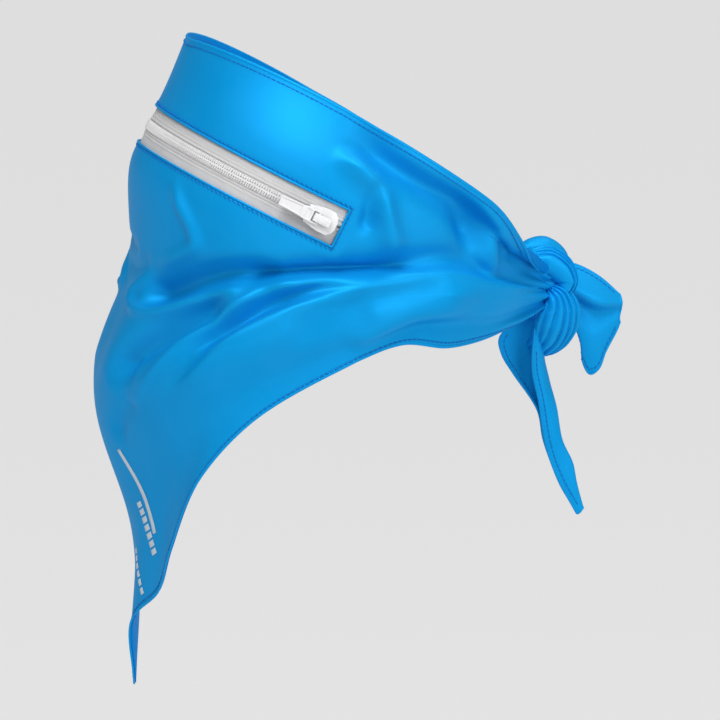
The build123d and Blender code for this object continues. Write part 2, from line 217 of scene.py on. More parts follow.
@dataclass
class ScarfShape:
    """The whole cloth between the rim and the free edge, as a grid of points in millimetres."""

    rim_half_depth: float = 103.0
    rim_half_width: float = 76.0
    rim_tilt: float = 32.3
    rim_rise_left: float = 13.0
    rim_rise_right: float = 8.3
    rim_dip: float = 12.0
    rim_dip_turn: tuple[float, float] = (2.15, 2.75)
    rim_end: float = 174.0
    zip_radius: float = 85.0
    zip_tilt: float = 27.0
    zip_centre: Point = (0.0, -30.0, -27.0)
    zip_half_span: float = 92.0
    window_half: float = 10.5
    band_half: float = 14.5
    round_end: float = 98.0
    round_share: float = 0.515
    front_point: Point = (-32.0, -109.0, -276.0)
    hem_left: tuple[Point, ...] = (
        (-12, -114, -240), (16, -106, -220), (33, -103.6, -197), (57, -94.4, -158), (72, -70, -126),
        (78, -28, -101), (76, 5, -89), (66, 31, -93), (46, 57, -92), (24, 76, -89), (11, 85, -80),
    )
    hem_right: tuple[Point, ...] = (
        (-50, -103, -230), (-64, -96, -190), (-73, -82, -150), (-79, -52, -118), (-80, -16, -100),
        (-74, 14, -93), (-60, 44, -93), (-38, 67, -91), (-11, 85, -80),
    )
    top_run: tuple[Point, ...] = ((72, 28, -26), (47, 60, -44), (10, 87, -61))
    bottom_run: tuple[Point, ...] = ((74, 20, -54), (50, 55, -67), (10, 87, -71))
    belly: tuple[Point, ...] = ((0.25, 3.5, 4.0), (0.43, 21.5, 7.0), (0.75, 0.0, 2.0))
    knot_mouth: Point = (15.0, 95.5, -72.5)
    mouth_height: float = 17.5
    mouth_level: float = 0.3
    mouth_lean: float = 6.0
    mouth_pleats: float = 4.3
    mouth_pleat_depth: float = 1.7
    mouth_pleats_from: tuple[float, float] = (0.85, 0.94)
    gather_from: float = 0.87
    gather_share: float = 0.8
    fold_fade: float = 0.22
    fold_cross: float = 0.15
    rim_smoothing: int = 12
    front_smoothing: int = 60
    columns: int = 150
    row_plan: tuple[int, ...] = (24, 3, 5, 5, 3, 26, 24, 30, 26)

    def __post_init__(self) -> None:
        """Work out the zip's frame and the grid's shares."""
        tilt = math.radians(self.zip_tilt)
        self.zip_front = np.array([0.0, -math.cos(tilt), math.sin(tilt)])
        self.zip_axis = np.array([0.0, math.sin(tilt), math.cos(tilt)])
        self.shares = self.column_shares()
        self.grid = self.build()
        self.drops = self.measure_drops(self.grid)

    def column_shares(self) -> np.ndarray:
        """Column places from the wearer's right to left, with one at each end of the window."""
        end = self.round_share * self.zip_half_span / self.round_end
        inside = int(self.columns * end)
        half = np.concatenate([
            np.linspace(0, end, inside, endpoint=False),
            np.linspace(end, 1, self.columns - inside + 1),
        ])
        return np.concatenate([-half[:0:-1], half])

    @property
    def window_columns(self) -> tuple[int, int]:
        """First and last column of the zip window."""
        end = self.round_share * self.zip_half_span / self.round_end
        near = np.flatnonzero(np.isclose(np.abs(self.shares), end))
        return int(near[0]), int(near[-1])

    @property
    def row_starts(self) -> list[int]:
        """Row number of each guide line."""
        return [0, *np.cumsum(self.row_plan).tolist()]

    def on_zip(self, angle: np.ndarray | float, radius: float, height: float) -> np.ndarray:
        """Points at angles in degrees round the zip arc, the wearer's left positive."""
        turn = np.radians(np.atleast_1d(angle))[:, None]
        side = np.array([1.0, 0.0, 0.0])
        flat = self.zip_front * np.cos(turn) * radius + side * np.sin(turn) * radius
        return np.array(self.zip_centre) + flat + self.zip_axis * height

    def round_window(self, tall: float, end: float, radius: float,
                     steps: tuple[int, int]) -> tuple[np.ndarray, np.ndarray]:
        """A line round the zip window, and the way outward at each of its points.

        Args:
            tall: How far above and below the zip the line runs, in millimetres.
            end: Where it turns, in degrees to each side.
            radius: How far out it lies.
            steps: Points along each long side and each end.

        Returns:
            The line's points and the outward directions.
        """
        side = np.linspace(-end, end, steps[0])
        level = np.linspace(-tall, tall, steps[1])[1:-1]
        above, beyond = np.full(side.size, tall), np.full(level.size, end)
        angles = np.concatenate([side, beyond, side[::-1], -beyond])
        heights = np.concatenate([above, level[::-1], -above, level])
        spots = np.array([self.on_zip(a, radius, h)[0] for a, h in zip(angles, heights)])
        outward = np.array([self.on_zip(a, 1.0, 0)[0] for a in angles]) - self.zip_centre
        return spots, unit(outward)

    def rim(self, side: int, shares: np.ndarray) -> np.ndarray:
        """Top edge: a tilted ellipse that rises a little at the sides."""
        tilt = math.radians(self.rim_tilt)
        turn = np.radians(np.linspace(0, self.rim_end, 60))
        reach = self.rim_half_depth * np.cos(turn)
        rise = (self.rim_rise_left if side > 0 else self.rim_rise_right) * np.sin(turn) ** 1.2
        line = np.stack([
            side * self.rim_half_width * np.sin(turn),
            -reach * math.cos(tilt) + rise * math.sin(tilt),
            reach * math.sin(tilt) + rise * math.cos(tilt),
        ], axis=-1)
        line[:, 2] -= self.rim_dip * ease(turn, *self.rim_dip_turn)
        return along(line, shares)

    def band(self, side: int, shares: np.ndarray, height: float) -> np.ndarray:
        """A line beside the zip: an arc as far as the window's end, then a run to the knot."""
        mix = (height / self.band_half + 1) / 2
        run = [np.array(b, float) * (1 - mix) + np.array(t, float) * mix
               for t, b in zip(self.top_run, self.bottom_run)]
        run = [point * (side, 1, 1) for point in run]
        start = self.on_zip(side * self.round_end, self.zip_radius, height)[0]
        before = self.on_zip(side * (self.round_end - 20), self.zip_radius, height)[0]
        tail = along(smooth_line([start, *run], before=before),
                     np.clip((shares - self.round_share) / (1 - self.round_share), 0, 1))
        arc = self.on_zip(side * shares / self.round_share * self.round_end, self.zip_radius, height)
        return np.where((shares <= self.round_share)[:, None], arc, tail)

    def hem(self, side: int, shares: np.ndarray) -> np.ndarray:
        """Free edge from the front point to the knot."""
        points = self.hem_left if side > 0 else self.hem_right
        return along(smooth_line([self.front_point, *points]), shares)

    def guides(self, side: int, shares: np.ndarray) -> list[np.ndarray]:
        """All the guide lines of one side, from the rim to the free edge."""
        heights = (self.band_half, self.window_half, 0.0, -self.window_half, -self.band_half)
        lines = [self.rim(side, shares), *[self.band(side, shares, h) for h in heights]]
        hem = self.hem(side, shares)
        fade = np.cos(np.pi / 2 * shares)[:, None]
        for down, front, beside in self.belly:
            spot = lines[5] + (hem - lines[5]) * down
            level = unit((spot - (0, 5, 0)) * (1, 1, 0))
            lines.append(spot + level * (beside * fade + (front - beside) * fade ** 4))
        return [*lines, hem]

    def build(self) -> np.ndarray:
        """The smooth cloth, before its folds: columns by rows by 3."""
        shares = np.abs(self.shares)
        right, left = self.guides(-1, shares), self.guides(1, shares)
        lines = [np.where((self.shares < 0)[:, None], a, b) for a, b in zip(right, left)]
        nodes = np.stack(lines, axis=1)
        gaps = np.linalg.norm(np.diff(nodes, axis=1), axis=-1, keepdims=True)
        slopes = np.diff(nodes, axis=1) / gaps
        middle = (slopes[:, :-1] * gaps[:, 1:] + slopes[:, 1:] * gaps[:, :-1]) / (gaps[:, 1:] + gaps[:, :-1])
        tangents = np.concatenate([slopes[:, :1], middle, slopes[:, -1:]], axis=1)
        rows = []
        for i, count in enumerate(self.row_plan):
            steps = np.arange(count) / count
            if i == 0:
                steps = steps ** 1.25
            if i == len(self.row_plan) - 1:
                steps = 1 - (1 - steps) ** 1.6
            for t in steps:
                rows.append(
                    nodes[:, i] * (2 * t**3 - 3 * t**2 + 1) + nodes[:, i + 1] * (3 * t**2 - 2 * t**3)
                    + tangents[:, i] * gaps[:, i] * (t**3 - 2 * t**2 + t)
                    + tangents[:, i + 1] * gaps[:, i] * (t**3 - t**2)
                )
        rows.append(nodes[:, -1])
        grid = np.stack(rows, axis=1)
        first = self.row_starts[1]
        grid[:, :first] = soften(grid, self.rim_smoothing)[:, :first]
        below = self.row_starts[5]
        centre = ((1 - ease(np.abs(self.shares), 0.04, 0.2))[:, None]
                  * ease(np.arange(grid.shape[1]), below, below + 14))[..., None]
        return grid * (1 - centre) + soften(grid, self.front_smoothing) * centre

    @staticmethod
    def measure_drops(grid: np.ndarray) -> np.ndarray:
        """Share of each column's length above each point."""
        steps = np.linalg.norm(np.diff(grid, axis=1), axis=-1)
        down = np.concatenate([np.zeros((grid.shape[0], 1)), np.cumsum(steps, axis=1)], axis=1)
        return down / down[:, -1:]

    def at(self, share: float, drop: float, grid: np.ndarray | None = None) -> np.ndarray:
        """Point of the cloth at a share and a drop."""
        grid = self.grid if grid is None else grid
        place = float(np.interp(share, self.shares, np.arange(len(self.shares))))
        low = min(int(place), len(self.shares) - 2)
        ends = [
            [np.interp(drop, self.drops[c], grid[c, :, k]) for k in range(3)] for c in (low, low + 1)
        ]
        return np.array(ends[0]) * (low + 1 - place) + np.array(ends[1]) * (place - low)

    def folded(self, folds: tuple[Fold, ...]) -> np.ndarray:
        """The cloth with its folds pressed in.

        Args:
            folds: The folds, in the order they are made.

        Returns:
            A grid like self.grid.
        """
        normals = -grid_normals(self.grid)
        shift = np.zeros(self.grid.shape[:2])
        for fold in folds:
            line = smooth_line([tuple(self.at(*spot)) for spot in fold.path], 10)
            drop_line = smooth_line([(a, b, 0.0) for a, b in fold.path], 10)[:, 1]
            side = np.sign(fold.path[0][0] + fold.path[-1][0])
            near = np.flatnonzero(self.shares * side > -self.fold_cross)
            reach = self.grid[near]
            best = np.full(reach.shape[:2], 1e9)
            place = np.zeros(reach.shape[:2])
            for k in range(len(line) - 1):
                leg = line[k + 1] - line[k]
                t = np.clip(((reach - line[k]) @ leg) / max(leg @ leg, 1e-9), 0, 1)
                gap = np.linalg.norm(reach - line[k] - t[..., None] * leg, axis=-1)
                closer = gap < best
                best = np.where(closer, gap, best)
                place = np.where(closer, k + t, place)
            place /= len(line) - 1
            below = self.drops[near] - np.interp(place, np.linspace(0, 1, len(drop_line)), drop_line)
            fade = ease(place, 0, self.fold_fade)
            if not fold.open_end:
                fade = fade * ease(1 - place, 0, self.fold_fade)
            shift[near] += fold.depth * fade * fold.profile(best, below)
        self.shift = soften(shift * self.fold_room(), 1)
        self.normals = normals
        return self.gather(self.grid + normals * self.shift[..., None])

    def inside(self, depths: tuple[float, ...], slack: int) -> np.ndarray:
        """A layer inside the folded cloth, clear of its valleys.

        Args:
            depths: How far in the layer lies at each guide line, from the rim to the free edge.
            slack: How many rows and columns its folds are drawn out over.

        Returns:
            A grid like self.grid.
        """
        low = self.shift.copy()
        for _ in range(slack):
            padded = np.pad(low, 1, mode="edge")
            low = np.minimum.reduce([padded[:-2, 1:-1], padded[2:, 1:-1], padded[1:-1, :-2],
                                     padded[1:-1, 2:], low])
        low = np.minimum(soften(low, 3 * slack), self.shift)
        depth = np.interp(np.arange(self.grid.shape[1]), self.row_starts, depths)[None, :]
        ends = ease(1 - np.abs(self.shares), 0.0, 0.2)[:, None]
        depth = depths[0] * (1 - ends) + depth * ends
        return self.gather(self.grid + self.normals * (soften(low, 4) - depth)[..., None])

    def fold_room(self) -> np.ndarray:
        """How far folds may move the cloth: not over the zip, less at the free edge and the rim."""
        height = (self.grid - self.zip_centre) @ self.zip_axis
        over = np.abs(self.shares)[:, None] * self.round_end / self.round_share
        on_band = (1 - ease(np.abs(height), self.band_half - 3, self.band_half + 5)) * (
            1 - ease(over, self.zip_half_span + 1.8, self.zip_half_span + 7))
        return (1 - on_band) * (0.35 + 0.65 * ease(1 - self.drops, 0, 0.05))

    def gather(self, grid: np.ndarray) -> np.ndarray:
        """Draw both ends of the cloth together towards the mouth of the knot."""
        pull = ease(np.abs(self.shares), self.gather_from, 1.0)[:, None, None] * self.gather_share
        mouth = np.array([0.0, self.mouth_lean, self.mouth_height])
        spread = (self.mouth_level - self.drops)[..., None] * mouth
        side = np.sign(self.shares)[:, None, None] ** np.array([1, 2, 2])
        here = ease(np.abs(self.shares), *self.mouth_pleats_from)[:, None] * self.mouth_pleat_depth
        pleats = here * np.cos(2 * np.pi * self.mouth_pleats * self.drops)
        drawn = grid + ((np.array(self.knot_mouth) + spread) * side - grid) * pull
        return drawn + self.normals * pleats[..., None]


LEFT_FOLDS = (
    # round the front, below the zip
    Fold(((-0.12, 0.335), (-0.04, 0.33), (0.06, 0.34)), 2.6, 3.2),
    Fold(((0.15, 0.22), (0.19, 0.27), (0.225, 0.315), (0.235, 0.345), (0.18, 0.365), (0.12, 0.38)), 3.6, 3.0,
         FoldKind.RIDGE),
    Fold(((0.11, 0.425), (0.16, 0.425), (0.26, 0.418), (0.35, 0.43), (0.43, 0.445)), 10.0, 6.4),
    Fold(((0.33, 0.436), (0.42, 0.449), (0.50, 0.462), (0.56, 0.465), (0.68, 0.46)), 7.5, 3.4),
    Fold(((0.14, 0.385), (0.085, 0.40), (0.07, 0.42), (0.10, 0.445), (0.16, 0.461), (0.25, 0.455),
          (0.32, 0.456), (0.385, 0.462)), 4.0, 2.8, FoldKind.RIDGE),
    Fold(((0.35, 0.485), (0.28, 0.495), (0.21, 0.513), (0.15, 0.55), (0.11, 0.59)), 10.5, 8.4),
    Fold(((0.40, 0.468), (0.37, 0.50), (0.32, 0.527), (0.27, 0.556), (0.21, 0.60), (0.14, 0.645)), 3.6, 2.6,
         FoldKind.RIDGE),
    Fold(((0.57, 0.505), (0.48, 0.515), (0.43, 0.53), (0.38, 0.556), (0.33, 0.575), (0.28, 0.61)), 6.0, 4.8),
    Fold(((0.60, 0.505), (0.52, 0.53), (0.46, 0.555), (0.40, 0.578), (0.36, 0.61), (0.31, 0.645),
          (0.24, 0.665)), 3.6, 9.0, FoldKind.LAP),
    Fold(((0.16, 0.53), (0.17, 0.575), (0.20, 0.60)), 1.3, 3.0, FoldKind.RIDGE),
    Fold(((0.09, 0.68), (0.13, 0.65), (0.175, 0.62)), 3.0, 5.0),
    # the big pleat that runs back to the knot
    Fold(((0.36, 0.452), (0.42, 0.46), (0.48, 0.468), (0.56, 0.472), (0.63, 0.468), (0.71, 0.468),
          (0.81, 0.475), (0.92, 0.53), (1.0, 0.58)), 8.0, 14.0, FoldKind.LAP, True),
    Fold(((0.66, 0.60), (0.75, 0.60), (0.86, 0.62), (1.0, 0.66)), 5.0, 12.0, FoldKind.RIDGE, True),
    Fold(((0.61, 0.85), (0.65, 0.77), (0.70, 0.70), (0.80, 0.64)), 4.5, 8.0, FoldKind.RIDGE),
    Fold(((0.68, 0.87), (0.76, 0.83), (0.86, 0.81), (1.0, 0.80)), 2.0, 4.6, FoldKind.VALLEY, True),
    Fold(((0.48, 0.66), (0.56, 0.68), (0.62, 0.66)), 3.0, 9.0),
    # beside the zip and up to the rim
    Fold(((0.40, 0.10), (0.46, 0.125), (0.50, 0.155), (0.54, 0.23), (0.58, 0.335), (0.62, 0.42)), 7.5, 5.6,
         FoldKind.RIDGE),
    Fold(((0.50, 0.13), (0.515, 0.23), (0.535, 0.33)), 4.2, 4.0),
    Fold(((0.38, 0.03), (0.48, 0.062), (0.58, 0.085), (0.68, 0.12), (0.75, 0.23), (0.79, 0.37)), 9.5, 8.4),
    Fold(((0.44, 0.02), (0.56, 0.035), (0.66, 0.045), (0.77, 0.07), (0.90, 0.14)), 4.2, 4.4,
         FoldKind.RIDGE, True),
    Fold(((0.77, 0.14), (0.80, 0.24), (0.81, 0.34), (0.80, 0.43)), 4.8, 6.6, FoldKind.RIDGE),
    Fold(((0.80, 0.40), (0.88, 0.38), (1.0, 0.41)), 3.6, 5.0, FoldKind.RIDGE, True),
    Fold(((0.86, 0.22), (0.92, 0.23), (1.0, 0.26)), 2.6, 3.6, FoldKind.VALLEY, True),
)


def mirrored_folds(folds: tuple[Fold, ...], lower: float, slack: float) -> tuple[Fold, ...]:
    """The same kinds of fold on the wearer's right, set a little lower and of another depth.

    Args:
        folds: The folds of the wearer's left.
        lower: How much further down they lie, as a share of the drop.
        slack: Factor on their depth.

    Returns:
        The mirrored folds.
    """
    out = []
    for index, fold in enumerate(folds):
        sway = lower * math.cos(2.1 * index)
        path = tuple((-share, min(max(drop + sway, 0.01), 0.99)) for share, drop in fold.path)
        out.append(Fold(path, fold.depth * slack, fold.width * 1.1, fold.kind, fold.open_end))
    return tuple(out)


# --- meshes -------------------------------------------------------------------------------------
def mesh_piece(name: str, points: np.ndarray, faces: list, weave: np.ndarray) -> bpy.types.Object:
    """Make a piece from points in millimetres.

    Args:
        name: The piece's name.
        points: One row for each point.
        faces: Point numbers of each face.
        weave: Place of each point on the cloth, in millimetres, for its UV map.

    Returns:
        The new object, smooth all over.
    """
    mesh = bpy.data.meshes.new(name)
    mesh.from_pydata((points * MM).tolist(), [], [list(map(int, face)) for face in faces])
    corners = np.empty(len(mesh.loops), int)
    mesh.loops.foreach_get("vertex_index", corners)
    mesh.uv_layers.new(name="weave").data.foreach_set("uv", weave[corners].astype(np.float32).ravel())
    mesh.polygons.foreach_set("use_smooth", [True] * len(mesh.polygons))
    mesh.update()
    piece = bpy.data.objects.new(name, mesh)
    bpy.context.scene.collection.objects.link(piece)
    return piece


def sheet_weave(grid: np.ndarray) -> np.ndarray:
    """Distance across and down the sheet at each point of its grid, in millimetres."""
    middle = grid.shape[0] // 2
    across = np.cumsum(np.linalg.norm(np.diff(grid, axis=0, prepend=grid[:1]), axis=-1), axis=0)
    down = np.cumsum(np.linalg.norm(np.diff(grid, axis=1, prepend=grid[:, :1]), axis=-1), axis=1)
    return np.stack([across - across[middle], down], axis=-1)


def cells_of(number: np.ndarray) -> np.ndarray:
    """Corners of each cell in a grid of point numbers."""
    return np.stack([number[:-1, :-1], number[:-1, 1:], number[1:, 1:], number[1:, :-1]], axis=-1)

def grid_piece(name: str, grid: np.ndarray, keep: np.ndarray | None = None) -> bpy.types.Object:
    """Make a sheet from a grid of points whose outer side is on the left of its columns.

    Args:
        name: The piece's name.
        grid: Columns by rows by 3, in millimetres.
        keep: Which cells of the grid have cloth.

    Returns:
        The new object.
    """
    cells = cells_of(np.arange(grid.shape[0] * grid.shape[1]).reshape(grid.shape[:2]))
    cells = cells[keep] if keep is not None else cells.reshape(-1, 4)
    used, faces = np.unique(cells, return_inverse=True)
    weave = sheet_weave(grid).reshape(-1, 2)[used]
    return mesh_piece(name, grid.reshape(-1, 3)[used], faces.reshape(-1, 4).tolist(), weave)


def finish_modifier(piece: bpy.types.Object, kind: str, **settings: object) -> None:
    """Add one modifier and apply it."""
    bpy.ops.object.select_all(action="DESELECT")
    piece.select_set(True)
    bpy.context.view_layer.objects.active = piece
    modifier = piece.modifiers.new(kind.lower(), kind)
    for key, value in settings.items():
        setattr(modifier, key, value)
    bpy.ops.object.modifier_apply(modifier=modifier.name)


def thicken(piece: bpy.types.Object, thickness: float) -> None:
    """Give a sheet its thickness in millimetres, towards its inner side."""
    finish_modifier(piece, "SOLIDIFY", thickness=thickness * MM, offset=-1.0, use_quality_normals=True)


def settle(piece: bpy.types.Object, finish: bpy.types.Material, body: str = "root",
           nodes: tuple[str, ...] = ()) -> bpy.types.Object:
    """Give a piece its finish, its body and the nodes that it stands for."""
    piece.data.materials.clear()
    piece.data.materials.append(finish)
    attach(piece, body)
    if nodes:
        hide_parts(*nodes)
    log.info("%s: %d faces", piece.name, len(piece.data.polygons))
    return piece


def fix_normals(piece: bpy.types.Object) -> None:
    """Turn all faces of a closed shape outward."""
    bm = bmesh.new()
    bm.from_mesh(piece.data)
    bmesh.ops.recalc_face_normals(bm, faces=bm.faces)
    bm.to_mesh(piece.data)
    bm.free()


# --- finishes -----------------------------------------------------------------------------------
@dataclass(frozen=True)
class Wire:
    """A shader value that Python arithmetic works on."""

    shader: "Shader"
    socket: bpy.types.NodeSocket

    def math(self, operation: str, *values: object) -> "Wire":
        """One Math node on the given values."""
        made = self.shader.node("ShaderNodeMath", {"operation": operation}, dict(enumerate(values)))
        return Wire(self.shader, made.outputs[0])

    def __add__(self, other: object) -> "Wire":
        """Sum."""
        return self.math("ADD", self, other)

    def __radd__(self, other: object) -> "Wire":
        """Sum with a number first."""
        return self.math("ADD", other, self)

    def __sub__(self, other: object) -> "Wire":
        """Difference."""
        return self.math("SUBTRACT", self, other)

    def __rsub__(self, other: object) -> "Wire":
        """Difference from a number."""
        return self.math("SUBTRACT", other, self)

    def __mul__(self, other: object) -> "Wire":
        """Product."""
        return self.math("MULTIPLY", self, other)

    def __rmul__(self, other: object) -> "Wire":
        """Product with a number first."""
        return self.math("MULTIPLY", other, self)

    def sine(self) -> "Wire":
        """Sine of an angle in radians."""
        return self.math("SINE", self)


class Shader:
    """One material's node tree round its Principled shader."""

    def __init__(self, name: str, **constants: object) -> None:
        """Start a material and set the shader's own sockets, with _ for a space in their names."""
        self.material = bpy.data.materials.new(name)
        self.material.use_nodes = True
        self.tree = self.material.node_tree
        self.surface = self.tree.nodes["Principled BSDF"]
        for key, value in constants.items():
            self.surface.inputs[key.replace("_", " ")].default_value = value

    def node(self, kind: str, settings: dict | None = None, inputs: dict | None = None) -> bpy.types.Node:
        """Add a node, set its options first and then its sockets."""
        made = self.tree.nodes.new(kind)
        for key, value in (settings or {}).items():
            setattr(made, key, value)
        for key, value in (inputs or {}).items():
            if isinstance(value, Wire):
                self.tree.links.new(value.socket, made.inputs[key])
            else:
                made.inputs[key].default_value = value
        return made

    def weave(self) -> tuple[Wire, Wire]:
        """Place on the cloth in millimetres: across and down."""
        spot = Wire(self, self.node("ShaderNodeUVMap", {"uv_map": "weave"}).outputs["UV"])
        parts = self.node("ShaderNodeSeparateXYZ", inputs={0: spot})
        return Wire(self, parts.outputs[0]), Wire(self, parts.outputs[1])

    def noise(self, scale: float, detail: float) -> Wire:
        """Soft noise from 0 to 1 at a scale per metre, on the object's own coordinates."""
        spot = Wire(self, self.node("ShaderNodeTexCoord").outputs["Object"])
        made = self.node("ShaderNodeTexNoise", inputs={"Vector": spot, "Scale": scale, "Detail": detail})
        return Wire(self, made.outputs[0])

    def mix(self, share: Wire, first: tuple, second: tuple) -> Wire:
        """Blend two colours."""
        made = self.node("ShaderNodeMix", {"data_type": "RGBA"}, {0: share, 6: (*first, 1), 7: (*second, 1)})
        return Wire(self, made.outputs[2])

    def bump(self, height: Wire, distance: float, strength: float) -> None:
        """Feed a height, with its size in metres, to the shader's normal."""
        made = self.node("ShaderNodeBump", inputs={
            "Height": height, "Distance": distance, "Strength": strength})
        self.feed("Normal", Wire(self, made.outputs[0]))

    def feed(self, name: str, value: Wire) -> None:
        """Link a value to one of the shader's sockets."""
        self.tree.links.new(value.socket, self.surface.inputs[name])


@dataclass(frozen=True)
class Satin:
    """Stretch satin: a smooth face of fine ribs with a soft broad shine."""

    name: str
    light: tuple[float, float, float] = (0.01, 0.34, 0.76)
    deep: tuple[float, float, float] = (0.0, 0.29, 0.68)
    rib: float = 0.42
    roughness: float = 0.44
    shine: float = 0.3
    gleam: float = 0.25
    tint: tuple[float, float, float, float] = (0.45, 0.8, 1.0, 1.0)

    def dress(self) -> bpy.types.Material:
        """Make the material."""
        shader = Shader(self.name, Specular_IOR_Level=self.shine, Metallic=self.gleam, IOR=1.25,
                        Anisotropic=0.3, Specular_Tint=self.tint)
        across, down = shader.weave()
        ribs = (across * (2 * math.pi / self.rib)).sine()
        courses = (down * (2 * math.pi / (self.rib * 1.3)) + ribs * 0.8).sine()
        cloud = shader.noise(38.0, 3.0)
        shader.feed("Base Color", shader.mix(cloud * 0.8 + courses * 0.1, self.deep, self.light))
        shader.feed("Roughness", self.roughness + cloud * 0.06)
        crumple = shader.noise(150.0, 2.0)
        shader.bump(ribs * 0.25 + courses * 0.35 + crumple * 3.0, 0.00005, 0.35)
        return shader.material


@dataclass(frozen=True)
class Tape:
    """White polyester zip tape in a tight warp knit."""

    name: str = "zip_tape_knit"
    pitch: float = 0.62

    def dress(self) -> bpy.types.Material:
        """Make the material."""
        shader = Shader(self.name, Specular_IOR_Level=0.3, Sheen_Weight=0.2)
        across, down = shader.weave()
        ribs = (down * (2 * math.pi / self.pitch)).sine()
        sway = (down * (math.pi / self.pitch)).sine() * 1.4
        loops = (across * (2 * math.pi / (self.pitch * 1.1)) + sway).sine()
        knit = ribs * 0.35 + loops * 0.5
        shader.feed("Base Color", shader.mix(0.5 + knit * 0.45, (0.70, 0.69, 0.69), (0.95, 0.94, 0.94)))
        shader.feed("Roughness", 0.62 - knit * 0.08)
        shader.bump(knit, 0.0003, 1.0)
        return shader.material


@dataclass(frozen=True)
class Moulded:
    """Hard white or metal finish with faint wear."""

    name: str
    colour: tuple[float, float, float] = (0.80, 0.80, 0.81)
    worn: tuple[float, float, float] = (0.70, 0.70, 0.72)
    roughness: float = 0.22
    metal: float = 0.0
    coat: float = 0.3

    def dress(self) -> bpy.types.Material:
        """Make the material."""
        shader = Shader(self.name, Metallic=self.metal, Coat_Weight=self.coat, Coat_Roughness=0.12)
        grain = shader.noise(900.0, 3.0)
        wear = shader.noise(240.0, 4.0)
        shader.feed("Base Color", shader.mix(wear * 0.8, self.colour, self.worn))
        shader.feed("Roughness", self.roughness + grain * 0.12)
        shader.bump(grain, 0.00002, 0.4)
        return shader.material


@dataclass(frozen=True)
class Thread:
    """Twisted sewing thread."""

    name: str
    colour: tuple[float, float, float]
    pale: tuple[float, float, float]

    def dress(self) -> bpy.types.Material:
        """Make the material."""
        shader = Shader(self.name, Specular_IOR_Level=0.2)
        twist = shader.noise(2600.0, 2.0)
        shader.feed("Base Color", shader.mix(twist, self.colour, self.pale))
        shader.feed("Roughness", 0.5 + twist * 0.1)
        shader.bump(twist, 0.00006, 0.7)
        return shader.material


# --- the cloth panels ---------------------------------------------------------------------------
@dataclass
class ClothPanels:
    """Satin shell with its zip window, the lining and the pocket bag between them."""

    shape: ScarfShape
    outer: np.ndarray
    satin: bpy.types.Material
    inner_satin: bpy.types.Material
    pocket_cloth: bpy.types.Material
    shell_thickness: float = 0.5
    lining_thickness: float = 0.4
    bag_thickness: float = 0.3
    lining_depths: tuple[float, ...] = (1.0, 5.9, 5.9, 5.9, 5.9, 5.9, 4.0, 3.0, 2.2, 0.9)
    bag_depths: tuple[float, ...] = (0.9, 4.6, 4.6, 4.6, 4.6, 4.6, 3.0, 2.2, 1.6, 0.7)
    bag_share: float = 0.5
    flat_panel: tuple[float, float] = (0.333, 0.60)

    def build(self) -> None:
        """Make the three sheets."""
        self.shell()
        self.lining()
        self.bag()

    def shell(self) -> None:
        """Outer satin triangle, with the window for the zip."""
        cells = np.ones((self.outer.shape[0] - 1, self.outer.shape[1] - 1), bool)
        first, last = self.shape.window_columns
        rows = self.shape.row_starts
        cells[first:last, rows[2]:rows[4]] = False
        piece = grid_piece("shell_satin", self.outer, cells)
        thicken(piece, self.shell_thickness)
        settle(piece, self.satin, nodes=("shell_panel",))

    def lining(self) -> None:
        """Inner satin layer against the head."""
        grid = self.shape.inside(self.lining_depths, 4)[::2, ::2]
        piece = grid_piece("lining_satin", grid)
        thicken(piece, self.lining_thickness)
        settle(piece, self.inner_satin, nodes=("lining_panel",))

    def bag(self) -> None:
        """Back of the pocket, from above the zip down into the front."""
        rows = self.shape.row_starts
        across = np.abs(self.shape.shares) < self.bag_share
        grid = self.shape.inside(self.bag_depths, 4)[across][:, rows[1] - 14:rows[6] + 8:2]
        piece = grid_piece("pocket_bag_sheet", grid[::2])
        thicken(piece, self.bag_thickness)
        settle(piece, self.pocket_cloth, nodes=("pocket_bag",))


